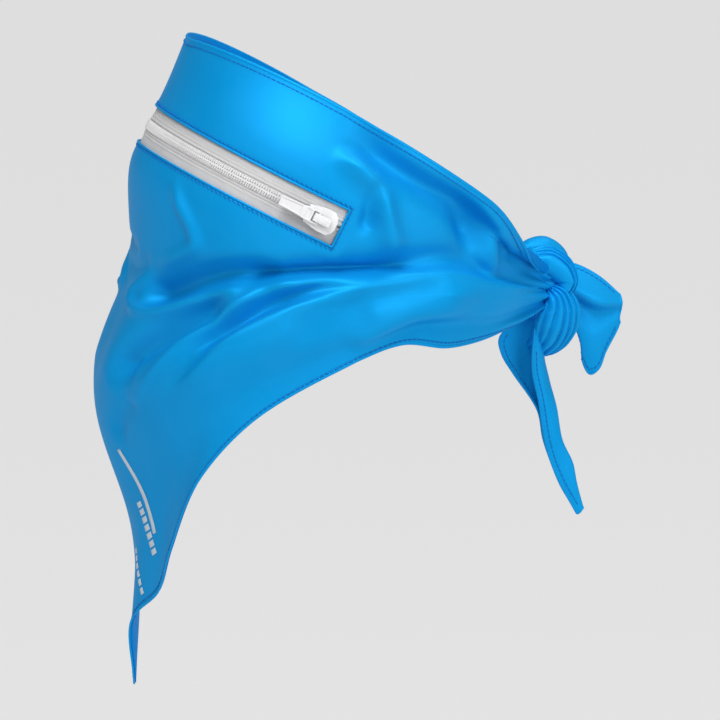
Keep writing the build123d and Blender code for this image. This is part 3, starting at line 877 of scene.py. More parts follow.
# --- the zip ------------------------------------------------------------------------------------
@dataclass
class Zip:
    """Tapes, coils and stops on the zip arc."""

    shape: ScarfShape
    knit: bpy.types.Material
    nylon: bpy.types.Material
    enamel: bpy.types.Material
    satin: bpy.types.Material
    tape_radius: float = 84.05
    tape_edge: float = 12.3
    tape_span: float = 93.3
    tape_thickness: float = 0.45
    chain_half: float = 0.25
    cord_places: tuple[float, ...] = (1.3, 3.6, 5.2)
    cord_rise: tuple[float, ...] = (0.75, 0.5, 0.25)
    tooth_pitch: float = 0.93
    tooth_length: float = 2.2
    tooth_radius: float = 0.42
    tooth_rise: tuple[float, float] = (0.85, 0.7)
    tooth_cross: float = 0.3
    coil_gap: float = 2.6
    cord_width: float = 0.62
    stop_gap: float = 2.4
    stop_rise: float = 1.1
    stop_radius: float = 0.8
    facing_half: tuple[float, float] = (9.5, 10.8)
    facing_rise: float = 1.05
    facing_bulge: float = 0.62
    facing_gap: float = 0.1

    def build(self) -> None:
        """Make every piece of the zip but its slider."""
        for side, name in ((1, "upper"), (-1, "lower")):
            self.tape(side, name)
            self.coil(side, name)
        self.stops()
        self.facing()

    def tape(self, side: int, name: str) -> None:
        """One tape: flat at its edge, with rolled cords beside the chain."""
        heights = np.linspace(self.chain_half, self.tape_edge, 58)
        rise = np.zeros_like(heights)
        for place, lift in zip(self.cord_places, self.cord_rise):
            rise += lift * np.exp(-((heights - place) / self.cord_width) ** 2)
        angles = np.linspace(-self.tape_span, self.tape_span, 220)
        grid = np.stack([self.shape.on_zip(angles, self.tape_radius + up, side * h)
                         for h, up in zip(heights, rise)], axis=1)
        if side > 0:
            grid = grid[:, ::-1]
        piece = grid_piece(f"zip_tape_{name}", grid)
        thicken(piece, self.tape_thickness)
        settle(piece, self.knit, nodes=(f"zipper_tape_{name}",))

    def coil(self, side: int, name: str) -> None:
        """Every turn of one coil, seen as a row of short rounded loops."""
        reach = self.shape.zip_half_span - self.coil_gap
        angles = np.arange(-reach, reach, self.tooth_pitch) + (self.tooth_pitch / 2 if side > 0 else 0)
        inner, outer = self.tooth_rise
        starts = self.shape.on_zip(angles, self.tape_radius + inner, -side * self.tooth_cross)
        ends = self.shape.on_zip(angles, self.tape_radius + outer, side * self.tooth_length)
        piece = capsules(f"zip_coil_{name}", starts, ends, self.tooth_radius)
        settle(piece, self.nylon, nodes=(f"zipper_coil_{name}",))

    def stops(self) -> None:
        """Two clamps past the parked slider, and one across both coils at the other end."""
        end = self.shape.zip_half_span - self.stop_gap
        radius = self.tape_radius + self.stop_rise
        for name, angle, heights in (
            ("zip_top_stops", end, ((0.9, 3.4), (-3.4, -0.9))),
            ("zip_bottom_stop", -end, ((-3.2, 3.2),)),
        ):
            lows = np.array([self.shape.on_zip(angle, radius, low)[0] for low, _ in heights])
            highs = np.array([self.shape.on_zip(angle, radius, high)[0] for _, high in heights])
            piece = capsules(name, lows, highs, self.stop_radius, around=16, rings=4)
            settle(piece, self.enamel, nodes=(name.replace("zip_", "zipper_"),))

    def facing(self) -> None:
        """Folded satin edge round the window, as a soft rounded strip."""
        inner, outer = self.facing_half
        middle, half = (inner + outer) / 2, (outer - inner) / 2
        end = self.shape.zip_half_span + self.facing_gap
        path, outward = self.shape.round_window(middle, end, self.tape_radius + self.facing_rise, (170, 16))
        tangent = unit(np.roll(path, -1, axis=0) - np.roll(path, 1, axis=0))
        rings = flat_rope(path, tangent, outward, (half, self.facing_bulge), 12)
        piece = tube_piece("window_edge_fold", rings, loop=True)
        settle(piece, self.satin, nodes=("window_facing",))


def round_rope(line: np.ndarray, radius: float, around: int = 8) -> np.ndarray:
    """Rings of a round rod along a line.

    Args:
        line: Its middle, in millimetres.
        radius: Half its thickness.
        around: Points round each ring.

    Returns:
        Rings by points by 3.
    """
    keep = np.concatenate([[True], np.linalg.norm(np.diff(line, axis=0), axis=1) > 1e-4])
    line = line[keep]
    tangent = unit(np.gradient(line, axis=0))
    side = unit(np.cross(tangent, [0.83, 0.31, 0.46]))
    other = np.cross(tangent, side)
    return line[:, None] + circles(side, other, around) * radius


def flat_rope(path: np.ndarray, tangent: np.ndarray, outward: np.ndarray, half: tuple[float, float],
              around: int) -> np.ndarray:
    """Rings of an oval rod along a path.

    Args:
        path: Its middle, in millimetres.
        tangent: Direction of the path at each point.
        outward: Direction of the oval's second half size.
        half: Half sizes across and outward.
        around: Points round each ring.

    Returns:
        Rings by points by 3.
    """
    across = unit(np.cross(tangent, outward))
    cosine, sine = round_turn(around)
    flat = across[:, None] * (half[0] * cosine)[None, :, None]
    return path[:, None] + flat + outward[:, None] * (half[1] * sine)[None, :, None]

def tube_piece(name: str, rings: np.ndarray, loop: bool = False) -> bpy.types.Object:
    """Join rings of points into a closed tube.

    Args:
        name: The piece's name.
        rings: Rings by points round each by 3, in millimetres.
        loop: Whether the last ring joins the first; otherwise both ends are closed.

    Returns:
        The new object.
    """
    count, around = rings.shape[:2]
    number = np.arange(count * around).reshape(count, around)
    number = np.concatenate([number, number[:, :1]], axis=1)
    if loop:
        number = np.concatenate([number, number[:1]])
    faces = cells_of(number).reshape(-1, 4).tolist()
    if not loop:
        faces += [number[0, :-1][::-1].tolist(), number[-1, :-1].tolist()]
    across = np.cumsum(np.linalg.norm(np.diff(rings, axis=1, prepend=rings[:, :1]), axis=-1), axis=1)
    down = lengths(rings.mean(axis=1))
    weave = np.stack([across, np.repeat(down[:, None], around, axis=1)], axis=-1)
    piece = mesh_piece(name, rings.reshape(-1, 3), faces, weave.reshape(-1, 2))
    fix_normals(piece)
    return piece


def capsules(name: str, starts: np.ndarray, ends: np.ndarray, radius: float, around: int = 6,
             rings: int = 2) -> bpy.types.Object:
    """Many small round-ended rods in one mesh.

    Args:
        name: The piece's name.
        starts: First end of each, in millimetres.
        ends: Other end of each.
        radius: Half of their thickness.
        around: Faces round each.
        rings: Rings of each rounded end.

    Returns:
        The new object.
    """
    axis = unit(ends - starts)
    guide = np.where(np.abs(axis[:, 2:]) > 0.9, [1.0, 0, 0], [0, 0, 1.0])
    first = unit(np.cross(axis, guide))
    second = np.cross(axis, first)
    circle = circles(first, second, around)
    lifts = np.linspace(np.pi / 2, 0, rings + 1)[1:]
    curve = [(math.sin(a), math.cos(a) * radius) for a in lifts]
    reach = axis * radius * ROD_END
    layers = [starts[:, None] - reach[:, None] * up + circle * out for up, out in curve]
    layers += [ends[:, None] + reach[:, None] * up + circle * out for up, out in curve[::-1]]
    rods = np.stack(layers, axis=1).reshape(len(starts), -1, 3)
    tips = [(starts - reach)[:, None], (ends + reach)[:, None]]
    points = np.concatenate([rods, *tips], axis=1).reshape(-1, 3)
    last = (len(layers) - 1) * around
    each = last + around + len(tips)
    beside = [(i, (i + 1) % around) for i in range(around)]
    one = [(low + i, low + j, low + around + j, low + around + i)
           for low in range(0, last, around) for i, j in beside]
    for i, j in beside:
        one += [(each - 2, j, i), (each - 1, last + i, last + j)]
    faces = [[k * each + corner for corner in face] for k in range(len(starts)) for face in one]
    piece = mesh_piece(name, points, faces, points[:, :2])
    fix_normals(piece)
    return piece

# --- the knot and its tails -----------------------------------------------------------------------
@dataclass
class Pleats:
    """One gathered loop of the knot: a fat band with sharp pleats along its outer face.

    Each stop of the path is a place in millimetres, the way that the band's face looks there, its
    width and its thickness. Pleat places run across the face from -1 to 1.
    """

    name: str
    path: tuple[Point, ...]
    faces: tuple[Point, ...]
    widths: tuple[float, ...]
    thicknesses: tuple[float, ...]
    pleats: tuple[float, ...]
    pleat_depth: float = 2.0
    pleat_start: float = 0.15
    groove: float = 0.085
    wander: float = 0.06
    steps: int = 110
    around: int = 120

    def build(self) -> bpy.types.Object:
        """Make the loop."""
        line = smooth_line(list(self.path), 20)
        spots = np.linspace(0, 1, self.steps)
        centre = along(line, spots)
        stops = lengths(line)[::20] / lengths(line)[-1]
        face = np.stack([np.interp(spots, stops, [f[k] for f in self.faces]) for k in range(3)], axis=-1)
        width = np.interp(spots, stops, self.widths) / 2
        thick = np.interp(spots, stops, self.thicknesses) / 2
        tangent = unit(np.gradient(centre, axis=0))
        face = unit(face - tangent * (face * tangent).sum(axis=-1, keepdims=True))
        across = np.cross(tangent, face)
        a, b = round_turn(self.around)
        grooves = np.zeros((self.steps, self.around))
        for index, place in enumerate(self.pleats):
            middle = place + self.wander * np.sin(3.0 * spots + 1.7 * index)
            gap = (a[None, :] - middle[:, None]) / self.groove
            grooves += np.exp(-np.abs(gap) ** 1.5) * ease(spots, 0, self.pleat_start)[:, None]
        lift = np.clip(b, 0, 1)[None, :] ** 0.6
        out = b[None, :] * thick[:, None] - self.pleat_depth * grooves * lift
        side = a[None, :] * width[:, None] - 0.4 * self.pleat_depth * grooves * np.abs(a)[None, :] ** 8
        rings = centre[:, None] + face[:, None] * out[..., None] + across[:, None] * side[..., None]
        return tube_piece(self.name, rings)


def flipped(points: tuple[Point, ...], shift: Point = (0.0, 0.0, 0.0)) -> tuple[Point, ...]:
    """The same points on the wearer's right, moved a little."""
    return tuple((-x + shift[0], y + shift[1], z + shift[2]) for x, y, z in points)


@dataclass
class Knot:
    """The tie behind the head: two gathered loops on each side and the cloth through them."""

    satin: bpy.types.Material
    upper_path: tuple[Point, ...] = (
        (9, 82, -63), (9.5, 88, -61.5), (10, 94.5, -61.5), (10.5, 100.5, -65.5), (10.5, 103.5, -72),
        (11.5, 101, -77), (12, 95, -76),
    )
    upper_faces: tuple[Point, ...] = (
        (0.8, -0.1, 0.6), (0.85, 0.0, 0.6), (0.85, 0.3, 0.45), (0.85, 0.5, 0.1), (0.9, 0.4, -0.1),
        (0.95, 0.2, -0.2), (1, 0, 0),
    )
    upper_widths: tuple[float, ...] = (9, 14, 16, 15, 12, 9, 6)
    upper_thick: tuple[float, ...] = (7, 12, 15, 15, 15, 11, 7)
    lower_path: tuple[Point, ...] = (
        (12, 94.5, -74.5), (14, 98, -79), (13.5, 99.5, -85), (12, 98.5, -92.5), (9, 96, -100),
        (5, 92.5, -105), (1, 90, -106.5),
    )
    lower_faces: tuple[Point, ...] = (
        (1, 0, 0.3), (0.95, 0.2, 0.2), (0.95, 0.2, 0.0), (0.95, 0.2, -0.15), (0.9, 0.15, -0.4),
        (0.8, 0.0, -0.6), (0.6, -0.1, -0.8),
    )
    lower_widths: tuple[float, ...] = (5, 16, 22, 24, 21, 16, 12)
    lower_thick: tuple[float, ...] = (6, 13, 16, 17, 15, 12, 10)
    core_path: tuple[Point, ...] = (
        (9, 88, -73), (6, 95, -76), (0, 99, -79), (-6, 95, -76), (-9, 88, -73),
    )

    def build(self) -> None:
        """Make all the loops."""
        shift = (-1.0, 1.5, 1.5)
        upper = Pleats("knot_loop_upper_left", self.upper_path, self.upper_faces, self.upper_widths,
                       self.upper_thick, (-0.72, -0.4, -0.05), 3.0, 0.45)
        lower = Pleats("knot_loop_lower_left", self.lower_path, self.lower_faces, self.lower_widths,
                       self.lower_thick, (-0.72, -0.35, 0.05, 0.42, 0.78), 3.0, 0.04)
        far_upper = Pleats("knot_loop_upper_right", flipped(self.upper_path, shift),
                           flipped(self.upper_faces), self.upper_widths, self.upper_thick,
                           (-0.6, -0.25, 0.1), 2.0, 0.3)
        far_lower = Pleats("knot_loop_lower_right", flipped(self.lower_path, shift),
                           flipped(self.lower_faces), self.lower_widths, self.lower_thick,
                           (-0.7, -0.35, 0.0, 0.3, 0.62), 2.2)
        core = Pleats("knot_core_gathers", self.core_path, ((0, 0, 1),) * 5, (11, 15, 18, 15, 11),
                      (12, 20, 26, 20, 12), (-0.5, 0.0, 0.5), 1.5)
        for loop in (upper, lower, far_upper, far_lower):
            settle(loop.build(), self.satin, nodes=("knot_wrap",) if loop is upper else ())
        settle(core.build(), self.satin, nodes=("knot_core",))


def loft(lines: tuple[tuple[Point, ...], ...], along_steps: int, across_steps: int) -> np.ndarray:
    """A sheet through a few lines drawn side by side.

    Args:
        lines: Each line's points, in millimetres.
        along_steps: Rows along the lines.
        across_steps: Steps from each line to the next.

    Returns:
        A grid of points: across by along by 3.
    """
    shares = np.linspace(0, 1, along_steps)
    drawn = np.stack([along(smooth_line(list(line), 12), shares) for line in lines])
    rows = [smooth_line([tuple(p) for p in drawn[:, k]], across_steps) for k in range(along_steps)]
    return np.stack(rows, axis=1)


@dataclass
class Tail:
    """One free end of the tie: a folded strip of hemmed cloth."""

    name: str
    body: str
    node: str
    lines: tuple[tuple[Point, ...], ...]
    joint_place: Point
    flat: tuple[float, float]
    thickness: float = 0.9
    edge_radius: float = 0.75
    seam_inset: float = 2.2
    seam_share: float = 0.4
    seam_start: float = 14.0
    seam_end: float = 4.0
    stitch_pitch: float = 2.7
    stitch_length: float = 1.8
    stitch_lift: float = 0.12
    thread_radius: float = 0.27
    bend: tuple[float, float] = (0.004, 0.016)
    cloth_share: float = 0.7

    def build(self, satin: bpy.types.Material, thread: bpy.types.Material) -> None:
        """Make the strip, its folded edges and its topstitching.

        Args:
            satin: Finish of the cloth.
            thread: Finish of the stitches.
        """
        grid = loft(self.lines, 140, 14)
        piece = grid_piece(self.name, grid)
        thicken(piece, self.thickness)
        fix_normals(piece)
        self.follow(piece, satin)
        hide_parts(self.node)
        middle = grid + grid_normals(grid) * (self.thickness / 2)
        border = np.concatenate([middle[0], middle[1:, -1], middle[-1, ::-1][1:]])
        self.follow(tube_piece(f"{self.name}_edge", round_rope(border, self.edge_radius)), satin)
        self.stitches(grid, thread)

    def stitches(self, grid: np.ndarray, thread: bpy.types.Material) -> None:
        """A row of stitches a little way in from each long edge, on both faces."""
        way = grid_normals(grid)
        starts, ends = [], []
        for strip, out in ((grid, way), (grid[::-1], way[::-1])):
            seam, face = [], []
            for column, looks in zip(strip.swapaxes(0, 1), out.swapaxes(0, 1)):
                reach = min(self.seam_inset, lengths(column)[-1] * self.seam_share)
                seam.append(at_lengths(column, reach))
                face.append(at_lengths(column, reach, looks))
            seam, face = np.array(seam), unit(np.array(face))
            begin = np.arange(self.seam_start, lengths(seam)[-1] - self.seam_end, self.stitch_pitch)
            for lift in (-self.stitch_lift, self.thickness + self.stitch_lift):
                for marks, into in ((begin, starts), (begin + self.stitch_length, ends)):
                    into.append(at_lengths(seam, marks) + at_lengths(seam, marks, face) * lift)
        rods = capsules(f"{self.name}_stitches", np.concatenate(starts), np.concatenate(ends),
                        self.thread_radius, 5, 2)
        self.follow(rods, thread)

    def follow(self, piece: bpy.types.Object, finish: bpy.types.Material) -> None:
        """Dress a piece and bake its place into its mesh."""
        piece.data.materials.append(finish)
        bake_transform(piece)
        log.info("%s: %d faces", piece.name, len(piece.data.polygons))


TAIL_LEFT = Tail(
    "tail_left_cloth", "tail_left", "tie_tail_left",
    (
        ((4, 84, -90), (2, 72, -101), (2, 73, -109), (4, 78, -118), (8, 90, -137), (9, 93, -152),
         (9, 97, -164), (9, 102, -176), (8, 110.5, -190)),
        ((3, 91, -92), (2, 82, -104), (3, 84, -114), (5, 88, -124), (8, 94, -140), (8, 96, -153),
         (8, 101, -164), (8, 105, -176), (8, 111, -190)),
        ((7, 96, -92), (6, 92, -106), (7, 95, -122), (9, 98.5, -136), (9.5, 101.5, -153), (9, 107, -165),
         (9, 109, -175), (8.5, 112.5, -188)),
        ((12, 91, -92), (12, 90, -106), (12, 91.5, -120), (12, 94, -136), (11.5, 97, -153), (10.5, 101, -165),
         (10, 105, -176), (8.5, 111, -190)),
        ((13, 87, -94), (14.5, 85.5, -106), (13.5, 86, -117), (12.5, 89.5, -132), (11.5, 93, -152),
         (10.5, 96.5, -164), (9.5, 102, -176), (8, 110.3, -190.5)),
    ),
    (8.0, 89.0, -92.0), (0.105, 0.036),
)
TAIL_RIGHT = Tail(
    "tail_right_cloth", "tail_right", "tie_tail_right",
    (
        ((-16, 100, -66), (-16, 114, -68.5), (-15, 126, -75), (-14, 136.5, -84.5)),
        ((-8, 100, -75), (-6, 113, -80.5), (-6.5, 124.5, -86), (-11.5, 136.8, -87.5)),
        ((-14, 101, -79), (-13.5, 114, -86), (-13, 124.5, -91.5), (-13.5, 137, -91)),
        ((-11, 102, -86), (-11, 115, -97), (-11.5, 122, -104), (-13.5, 136, -96)),
        ((-12, 104, -91), (-12, 113.5, -98), (-12, 117.5, -109), (-12.5, 118, -118), (-13, 121.5, -123.5),
         (-13, 125.5, -121), (-14, 129, -113), (-14.5, 135, -102), (-14, 136.5, -98)),
    ),
    (-14.0, 108.0, -70.0), (0.05, 0.05),
)


# --- sewing -------------------------------------------------------------------------------------
@dataclass
class Sewing:
    """Topstitching, folded edges and the reflective bars that lie on the cloth."""

    shape: ScarfShape
    outer: np.ndarray
    satin: bpy.types.Material
    thread: bpy.types.Material
    reflective: bpy.types.Material
    stitch_length: float = 1.7
    stitch_gap: float = 1.0
    thread_radius: float = 0.34
    thread_proud: float = 0.45
    hem_inset: float = 2.3
    rim_inset: float = 2.6
    edge_reach: float = 0.93
    edge_roll: tuple[float, float] = (0.95, 0.55)
    roll_sink: float = 0.3
    window_gap: float = 1.5
    window_slant: float = 0.9
    long_bar: tuple[tuple[float, float], ...] = ((0.087, 0.69), (0.121, 0.77), (0.168, 0.88))

    def __post_init__(self) -> None:
        """Find which way the cloth's face looks."""
        self.outward = -grid_normals(self.outer)
        self.inside_reach = np.abs(self.shape.shares) < self.edge_reach

    def build(self) -> None:
        """Make every seam, edge and bar."""
        for name, inset, last in (("hem", self.hem_inset, True), ("rim", self.rim_inset, False)):
            self.row(f"stitches_{name}", *self.edge_line(inset, last))
            self.roll(f"{name}_folded_edge", last)
        self.row("stitches_zip_window", *self.window_line(self.window_gap), self.window_slant)
        self.bars()

    def edge_line(self, inset: float, last: bool) -> tuple[np.ndarray, np.ndarray]:
        """Points a little way in from the rim or the free edge, and the face's direction there."""
        grid, out = self.outer[self.inside_reach], self.outward[self.inside_reach]
        if last:
            grid, out = grid[:, ::-1], out[:, ::-1]
        spots = np.array([at_lengths(column, inset) for column in grid])
        ways = np.array([at_lengths(column, inset, way) for column, way in zip(grid, out)])
        return spots, unit(ways)

    def window_line(self, gap: float) -> tuple[np.ndarray, np.ndarray]:
        """A closed line round the zip window, a gap outside it."""
        radius = self.shape.zip_radius
        end = self.shape.zip_half_span + math.degrees(gap / radius)
        spots, outward = self.shape.round_window(self.shape.window_half + gap, end, radius, (200, 20))
        return np.concatenate([spots, spots[:1]]), np.concatenate([outward, outward[:1]])

    def row(self, name: str, line: np.ndarray, out: np.ndarray, slant: float = 0.0) -> None:
        """Stitches along a line, each a short raised length of thread.

        Args:
            name: Name of the piece.
            line: The seam's points.
            out: The way that the cloth faces at each of them.
            slant: How far each stitch steps sideways, in millimetres.
        """
        begin = np.arange(1.0, lengths(line)[-1] - self.stitch_length, self.stitch_length + self.stitch_gap)
        ends = []
        for marks, aside in ((begin, 0.0), (begin + self.stitch_length, slant)):
            spot = at_lengths(line, marks)
            way = unit(at_lengths(line, marks, out))
            ahead = unit(np.gradient(spot, axis=0))
            ends.append(spot + way * (self.thread_radius * self.thread_proud) + np.cross(ahead, way) * aside)
        settle(capsules(name, *ends, self.thread_radius, 5, 2), self.thread)

    def roll(self, name: str, last: bool) -> None:
        """The folded edge itself, a soft rounded strip."""
        row = -1 if last else 0
        line = self.outer[self.inside_reach, row]
        out = self.outward[self.inside_reach, row]
        tangent = unit(np.gradient(line, axis=0))
        rings = flat_rope(line - out * self.roll_sink, tangent, out, self.edge_roll, 10)
        settle(tube_piece(name, rings), self.satin)

    def bars(self) -> None:
        """One long slim bar and two rows of short plain blocks, as thin patches on the cloth."""
        patches = [self.patch(self.long_bar, 1.5)]
        for row_start, row_end, count, wide in (
            ((0.112, 0.80), (0.176, 0.925), 7, 2.3), ((0.085, 0.86), (0.15, 0.985), 6, 1.5),
        ):
            ends = np.linspace(row_start, row_end, count + 1)
            for low, high in zip(ends, ends[1:]):
                patches.append(self.patch((tuple(low), tuple(low + (high - low) * 0.72)), wide))
        for number, patch in enumerate(patches):
            piece = grid_piece(f"reflective_bar_{number + 1}", patch)
            thicken(piece, 0.12)
            settle(piece, self.reflective)

    def patch(self, path: tuple[tuple[float, float], ...], half_width: float) -> np.ndarray:
        """A narrow strip of points just over the cloth, along a path in share and drop."""
        spots = np.array(path)
        turns = np.linspace(0, 1, 14)
        stops = np.linspace(0, 1, len(spots))
        line = np.stack([np.interp(turns, stops, spots[:, k]) for k in range(2)], axis=-1)
        middle = np.array([self.shape.at(a, b, self.outer) for a, b in line])
        way = unit(np.array([self.shape.at(a, b, self.outward) for a, b in line]))
        across = unit(np.cross(np.gradient(middle, axis=0), way))
        offsets = np.linspace(half_width, -half_width, 4)
        return middle[None] + across[None] * offsets[:, None, None] + way[None] * 0.22


# --- the slider and its pull --------------------------------------------------------------------
class Bench:
    """One hard piece being modelled, in millimetres on the slider's own frame."""

    def __init__(self, name: str, low: Point, high: Point) -> None:
        """Start from a block between two corners and open it for editing."""
        size = Vector(high) - Vector(low)
        bpy.ops.object.select_all(action="DESELECT")
        bpy.ops.mesh.primitive_cube_add(size=1, location=(Vector(high) + Vector(low)) / 2, scale=size)
        self.piece = bpy.context.object
        self.piece.name = name
        bpy.ops.object.transform_apply(location=True, rotation=True, scale=True)
        bpy.ops.object.mode_set(mode="EDIT")
        bpy.ops.mesh.select_mode(type="FACE")

    def pick(self, way: Point, reach: Callable[[Vector], bool] | None = None) -> None:
        """Select the faces that look one way and whose middle passes a test."""
        bm = bmesh.from_edit_mesh(self.piece.data)
        bm.normal_update()
        for face in bm.faces:
            looks = face.normal.dot(Vector(way)) > 0.85
            face.select_set(looks and (reach is None or reach(face.calc_center_median())))
        bmesh.update_edit_mesh(self.piece.data)

    def push(self, move: Point, resize: Point | None = None) -> None:
        """Extrude what is selected, then widen or narrow it."""
        bpy.ops.mesh.extrude_region_move(TRANSFORM_OT_translate={"value": move})
        if resize is not None:
            bpy.ops.transform.resize(value=resize)

    def cut(self, place: Point, way: Point) -> None:
        """Cut an edge all round at a plane."""
        bpy.ops.mesh.select_all(action="SELECT")
        bpy.ops.mesh.bisect(plane_co=place, plane_no=way)

    def done(self, bevel: float, segments: int = 3) -> bpy.types.Object:
        """Leave edit mode and round the edges."""
        bpy.ops.object.mode_set(mode="OBJECT")
        finish_modifier(self.piece, "BEVEL", width=bevel, segments=segments, limit_method="ANGLE",
                        angle_limit=math.radians(30))
        return self.piece


def joined(name: str, pieces: list[bpy.types.Object], frame: Matrix) -> bpy.types.Object:
    """Join pieces, put them in their place and shade them.

    Args:
        name: Name of the joined piece.
        pieces: What to join.
        frame: Where the slider's frame lies, with millimetres made metres.

    Returns:
        The joined piece.
    """
    bpy.ops.object.select_all(action="DESELECT")
    for piece in pieces:
        piece.select_set(True)
    bpy.context.view_layer.objects.active = pieces[0]
    bpy.ops.object.join()
    pieces[0].name = name
    pieces[0].data.transform(frame)
    fix_normals(pieces[0])
    bpy.ops.object.shade_smooth_by_angle(angle=math.radians(35))
    return pieces[0]


@dataclass
class Slider:
    """Slider body, the bridge over it and the pull, at the near end of the zip."""

    shape: ScarfShape
    enamel: bpy.types.Material
    angle: float = 84.5
    radius: float = 84.0
    half_length: float = 8.25
    tail_half: float = 4.8
    nose_half: float = 6.2
    roof: float = 2.9
    plate: float = 1.3
    floor: float = -1.15
    flange_drop: float = 2.2
    bridge_half: float = 4.4
    bridge_rise: float = 3.2
    pin_x: float = -2.0
    pull_height: float = 5.5
    pull_half_thick: float = 0.75
    pull_free: float = -23.0
    pull_droop: float = 4.0

    def frame(self) -> Matrix:
        """The slider's frame: x closes the zip, z points outward, in metres."""
        turn = math.radians(self.angle)
        front, side = self.shape.zip_front, np.array([1.0, 0, 0])
        x = side * math.cos(turn) - front * math.sin(turn)
        z = front * math.cos(turn) + side * math.sin(turn)
        place = self.shape.on_zip(self.angle, self.radius, 0)[0]
        rows = np.column_stack([x, self.shape.zip_axis, z, place]).tolist()
        return Matrix.Scale(MM, 4) @ Matrix([*rows, [0, 0, 0, 1]])

    def build(self) -> None:
        """Make the three pieces."""
        frame = self.frame()
        body = joined("slider_body_cast", [self.plate_at(self.roof, True), self.plate_at(self.floor, False),
                                           self.post()], frame)
        settle(body, self.enamel, "slider", ("slider_body",))
        bridge = joined("slider_bridge_cast", [self.bridge()], frame)
        settle(bridge, self.enamel, "slider", ("slider_cap",))
        hinge = Vector((self.pin_x, 0, self.pull_height))
        droop = Matrix.Translation(hinge) @ Matrix.Rotation(math.radians(-self.pull_droop), 4, "Y")
        droop = frame @ droop @ Matrix.Translation(-hinge)
        pull = joined("pull_tab_cast", [self.pull(), self.pin()], droop)
        settle(pull, self.enamel, "pull", ("pull_tab",))

    def plate_at(self, height: float, top: bool) -> bpy.types.Object:
        """One plate: a narrow tail that widens to round shoulders; the top one has side flanges."""
        low = height if top else height - self.plate
        start = -self.half_length
        bench = Bench("plate", (start, -self.tail_half, low), (start + 1.2, self.tail_half, low + self.plate))
        before = self.tail_half
        for step, half in ((7.0, self.nose_half), (5.2, self.nose_half), (2.0, 4.4), (1.1, 2.0)):
            bench.pick((1, 0, 0))
            bench.push((step, 0, 0), (1, half / before, 1))
            before = half
        if top:
            bench.pick((0, 0, -1))
            bpy.ops.mesh.inset(thickness=1.0)
            bench.pick((0, 0, -1), lambda middle: abs(middle.y) > 3.9 and middle.x < 5.5)
            bench.push((0, 0, -self.flange_drop))
        return bench.done(0.42)

    def post(self) -> bpy.types.Object:
        """The wedge between the plates that parts the coils."""
        bench = Bench("post", (3.0, -0.4, self.floor), (5.0, 0.4, self.roof))
        bench.pick((1, 0, 0))
        bench.push((2.4, 0, 0), (1, 2.4, 1))
        return bench.done(0.15, 2)

    def bridge(self) -> bpy.types.Object:
        """An arch from the tail to the nose, open across the middle for the pull's pin."""
        base = self.roof + self.plate - 0.1
        top = base + self.bridge_rise
        bench = Bench("bridge", (-self.bridge_half, -2.1, top - 1.1), (self.bridge_half, 2.1, top))
        for place in (-3.2, 3.2):
            bench.cut((place, 0, 0), (1, 0, 0))
        bench.pick((0, 0, -1), lambda middle: abs(middle.x) > 3.2)
        bench.push((0, 0, 1.1 - self.bridge_rise), (1.12, 1.1, 1))
        bench.pick((0, 0, 1), lambda middle: abs(middle.x) < 3.2)
        bpy.ops.mesh.inset(thickness=0.7)
        bench.push((0, 0, 0.25))
        return bench.done(0.45)

    def pull(self) -> bpy.types.Object:
        """A tapered tab with a raised rim, a sunk field and a fork at its root."""
        low, high = self.pull_height - self.pull_half_thick, self.pull_height + self.pull_half_thick
        bench = Bench("pull", (self.pull_free, -2.4, low), (self.pull_free + 0.8, 2.4, high))
        for step, factor in ((11.4, 1.28), (1.2, 1.1), (4.4, 1.04)):
            bench.pick((1, 0, 0))
            bench.push((step, 0, 0), (1, factor, 1))
        for way in ((0, 0, 1), (0, 0, -1)):
            bench.pick(way, lambda middle: middle.x < -11.5)
            bpy.ops.mesh.inset(thickness=0.7)
            bench.push((0, 0, -0.42 * way[2]))
            bench.pick(way, lambda middle: -9.5 < middle.x < -5.5)
            bpy.ops.mesh.inset(thickness=1.0)
            bench.push((0, 0, -0.4 * way[2]))
        for place in (-2.65, 2.65):
            bench.cut((0, place, 0), (0, 1, 0))
        bench.pick((1, 0, 0), lambda middle: abs(middle.y) > 2.65 and middle.x > -6)
        bench.push((4.0, 0, 0))
        return bench.done(0.18)

    def pin(self) -> bpy.types.Object:
        """The round pin across the fork."""
        bpy.ops.object.select_all(action="DESELECT")
        bpy.ops.mesh.primitive_cylinder_add(vertices=20, radius=0.7, depth=6.6,
                                            location=(self.pin_x, 0, self.pull_height),
                                            rotation=(math.radians(90), 0, 0))
        pin = bpy.context.object
        bpy.ops.object.transform_apply(location=True, rotation=True, scale=True)
        finish_modifier(pin, "BEVEL", width=0.15, segments=2, limit_method="ANGLE")
        return pin


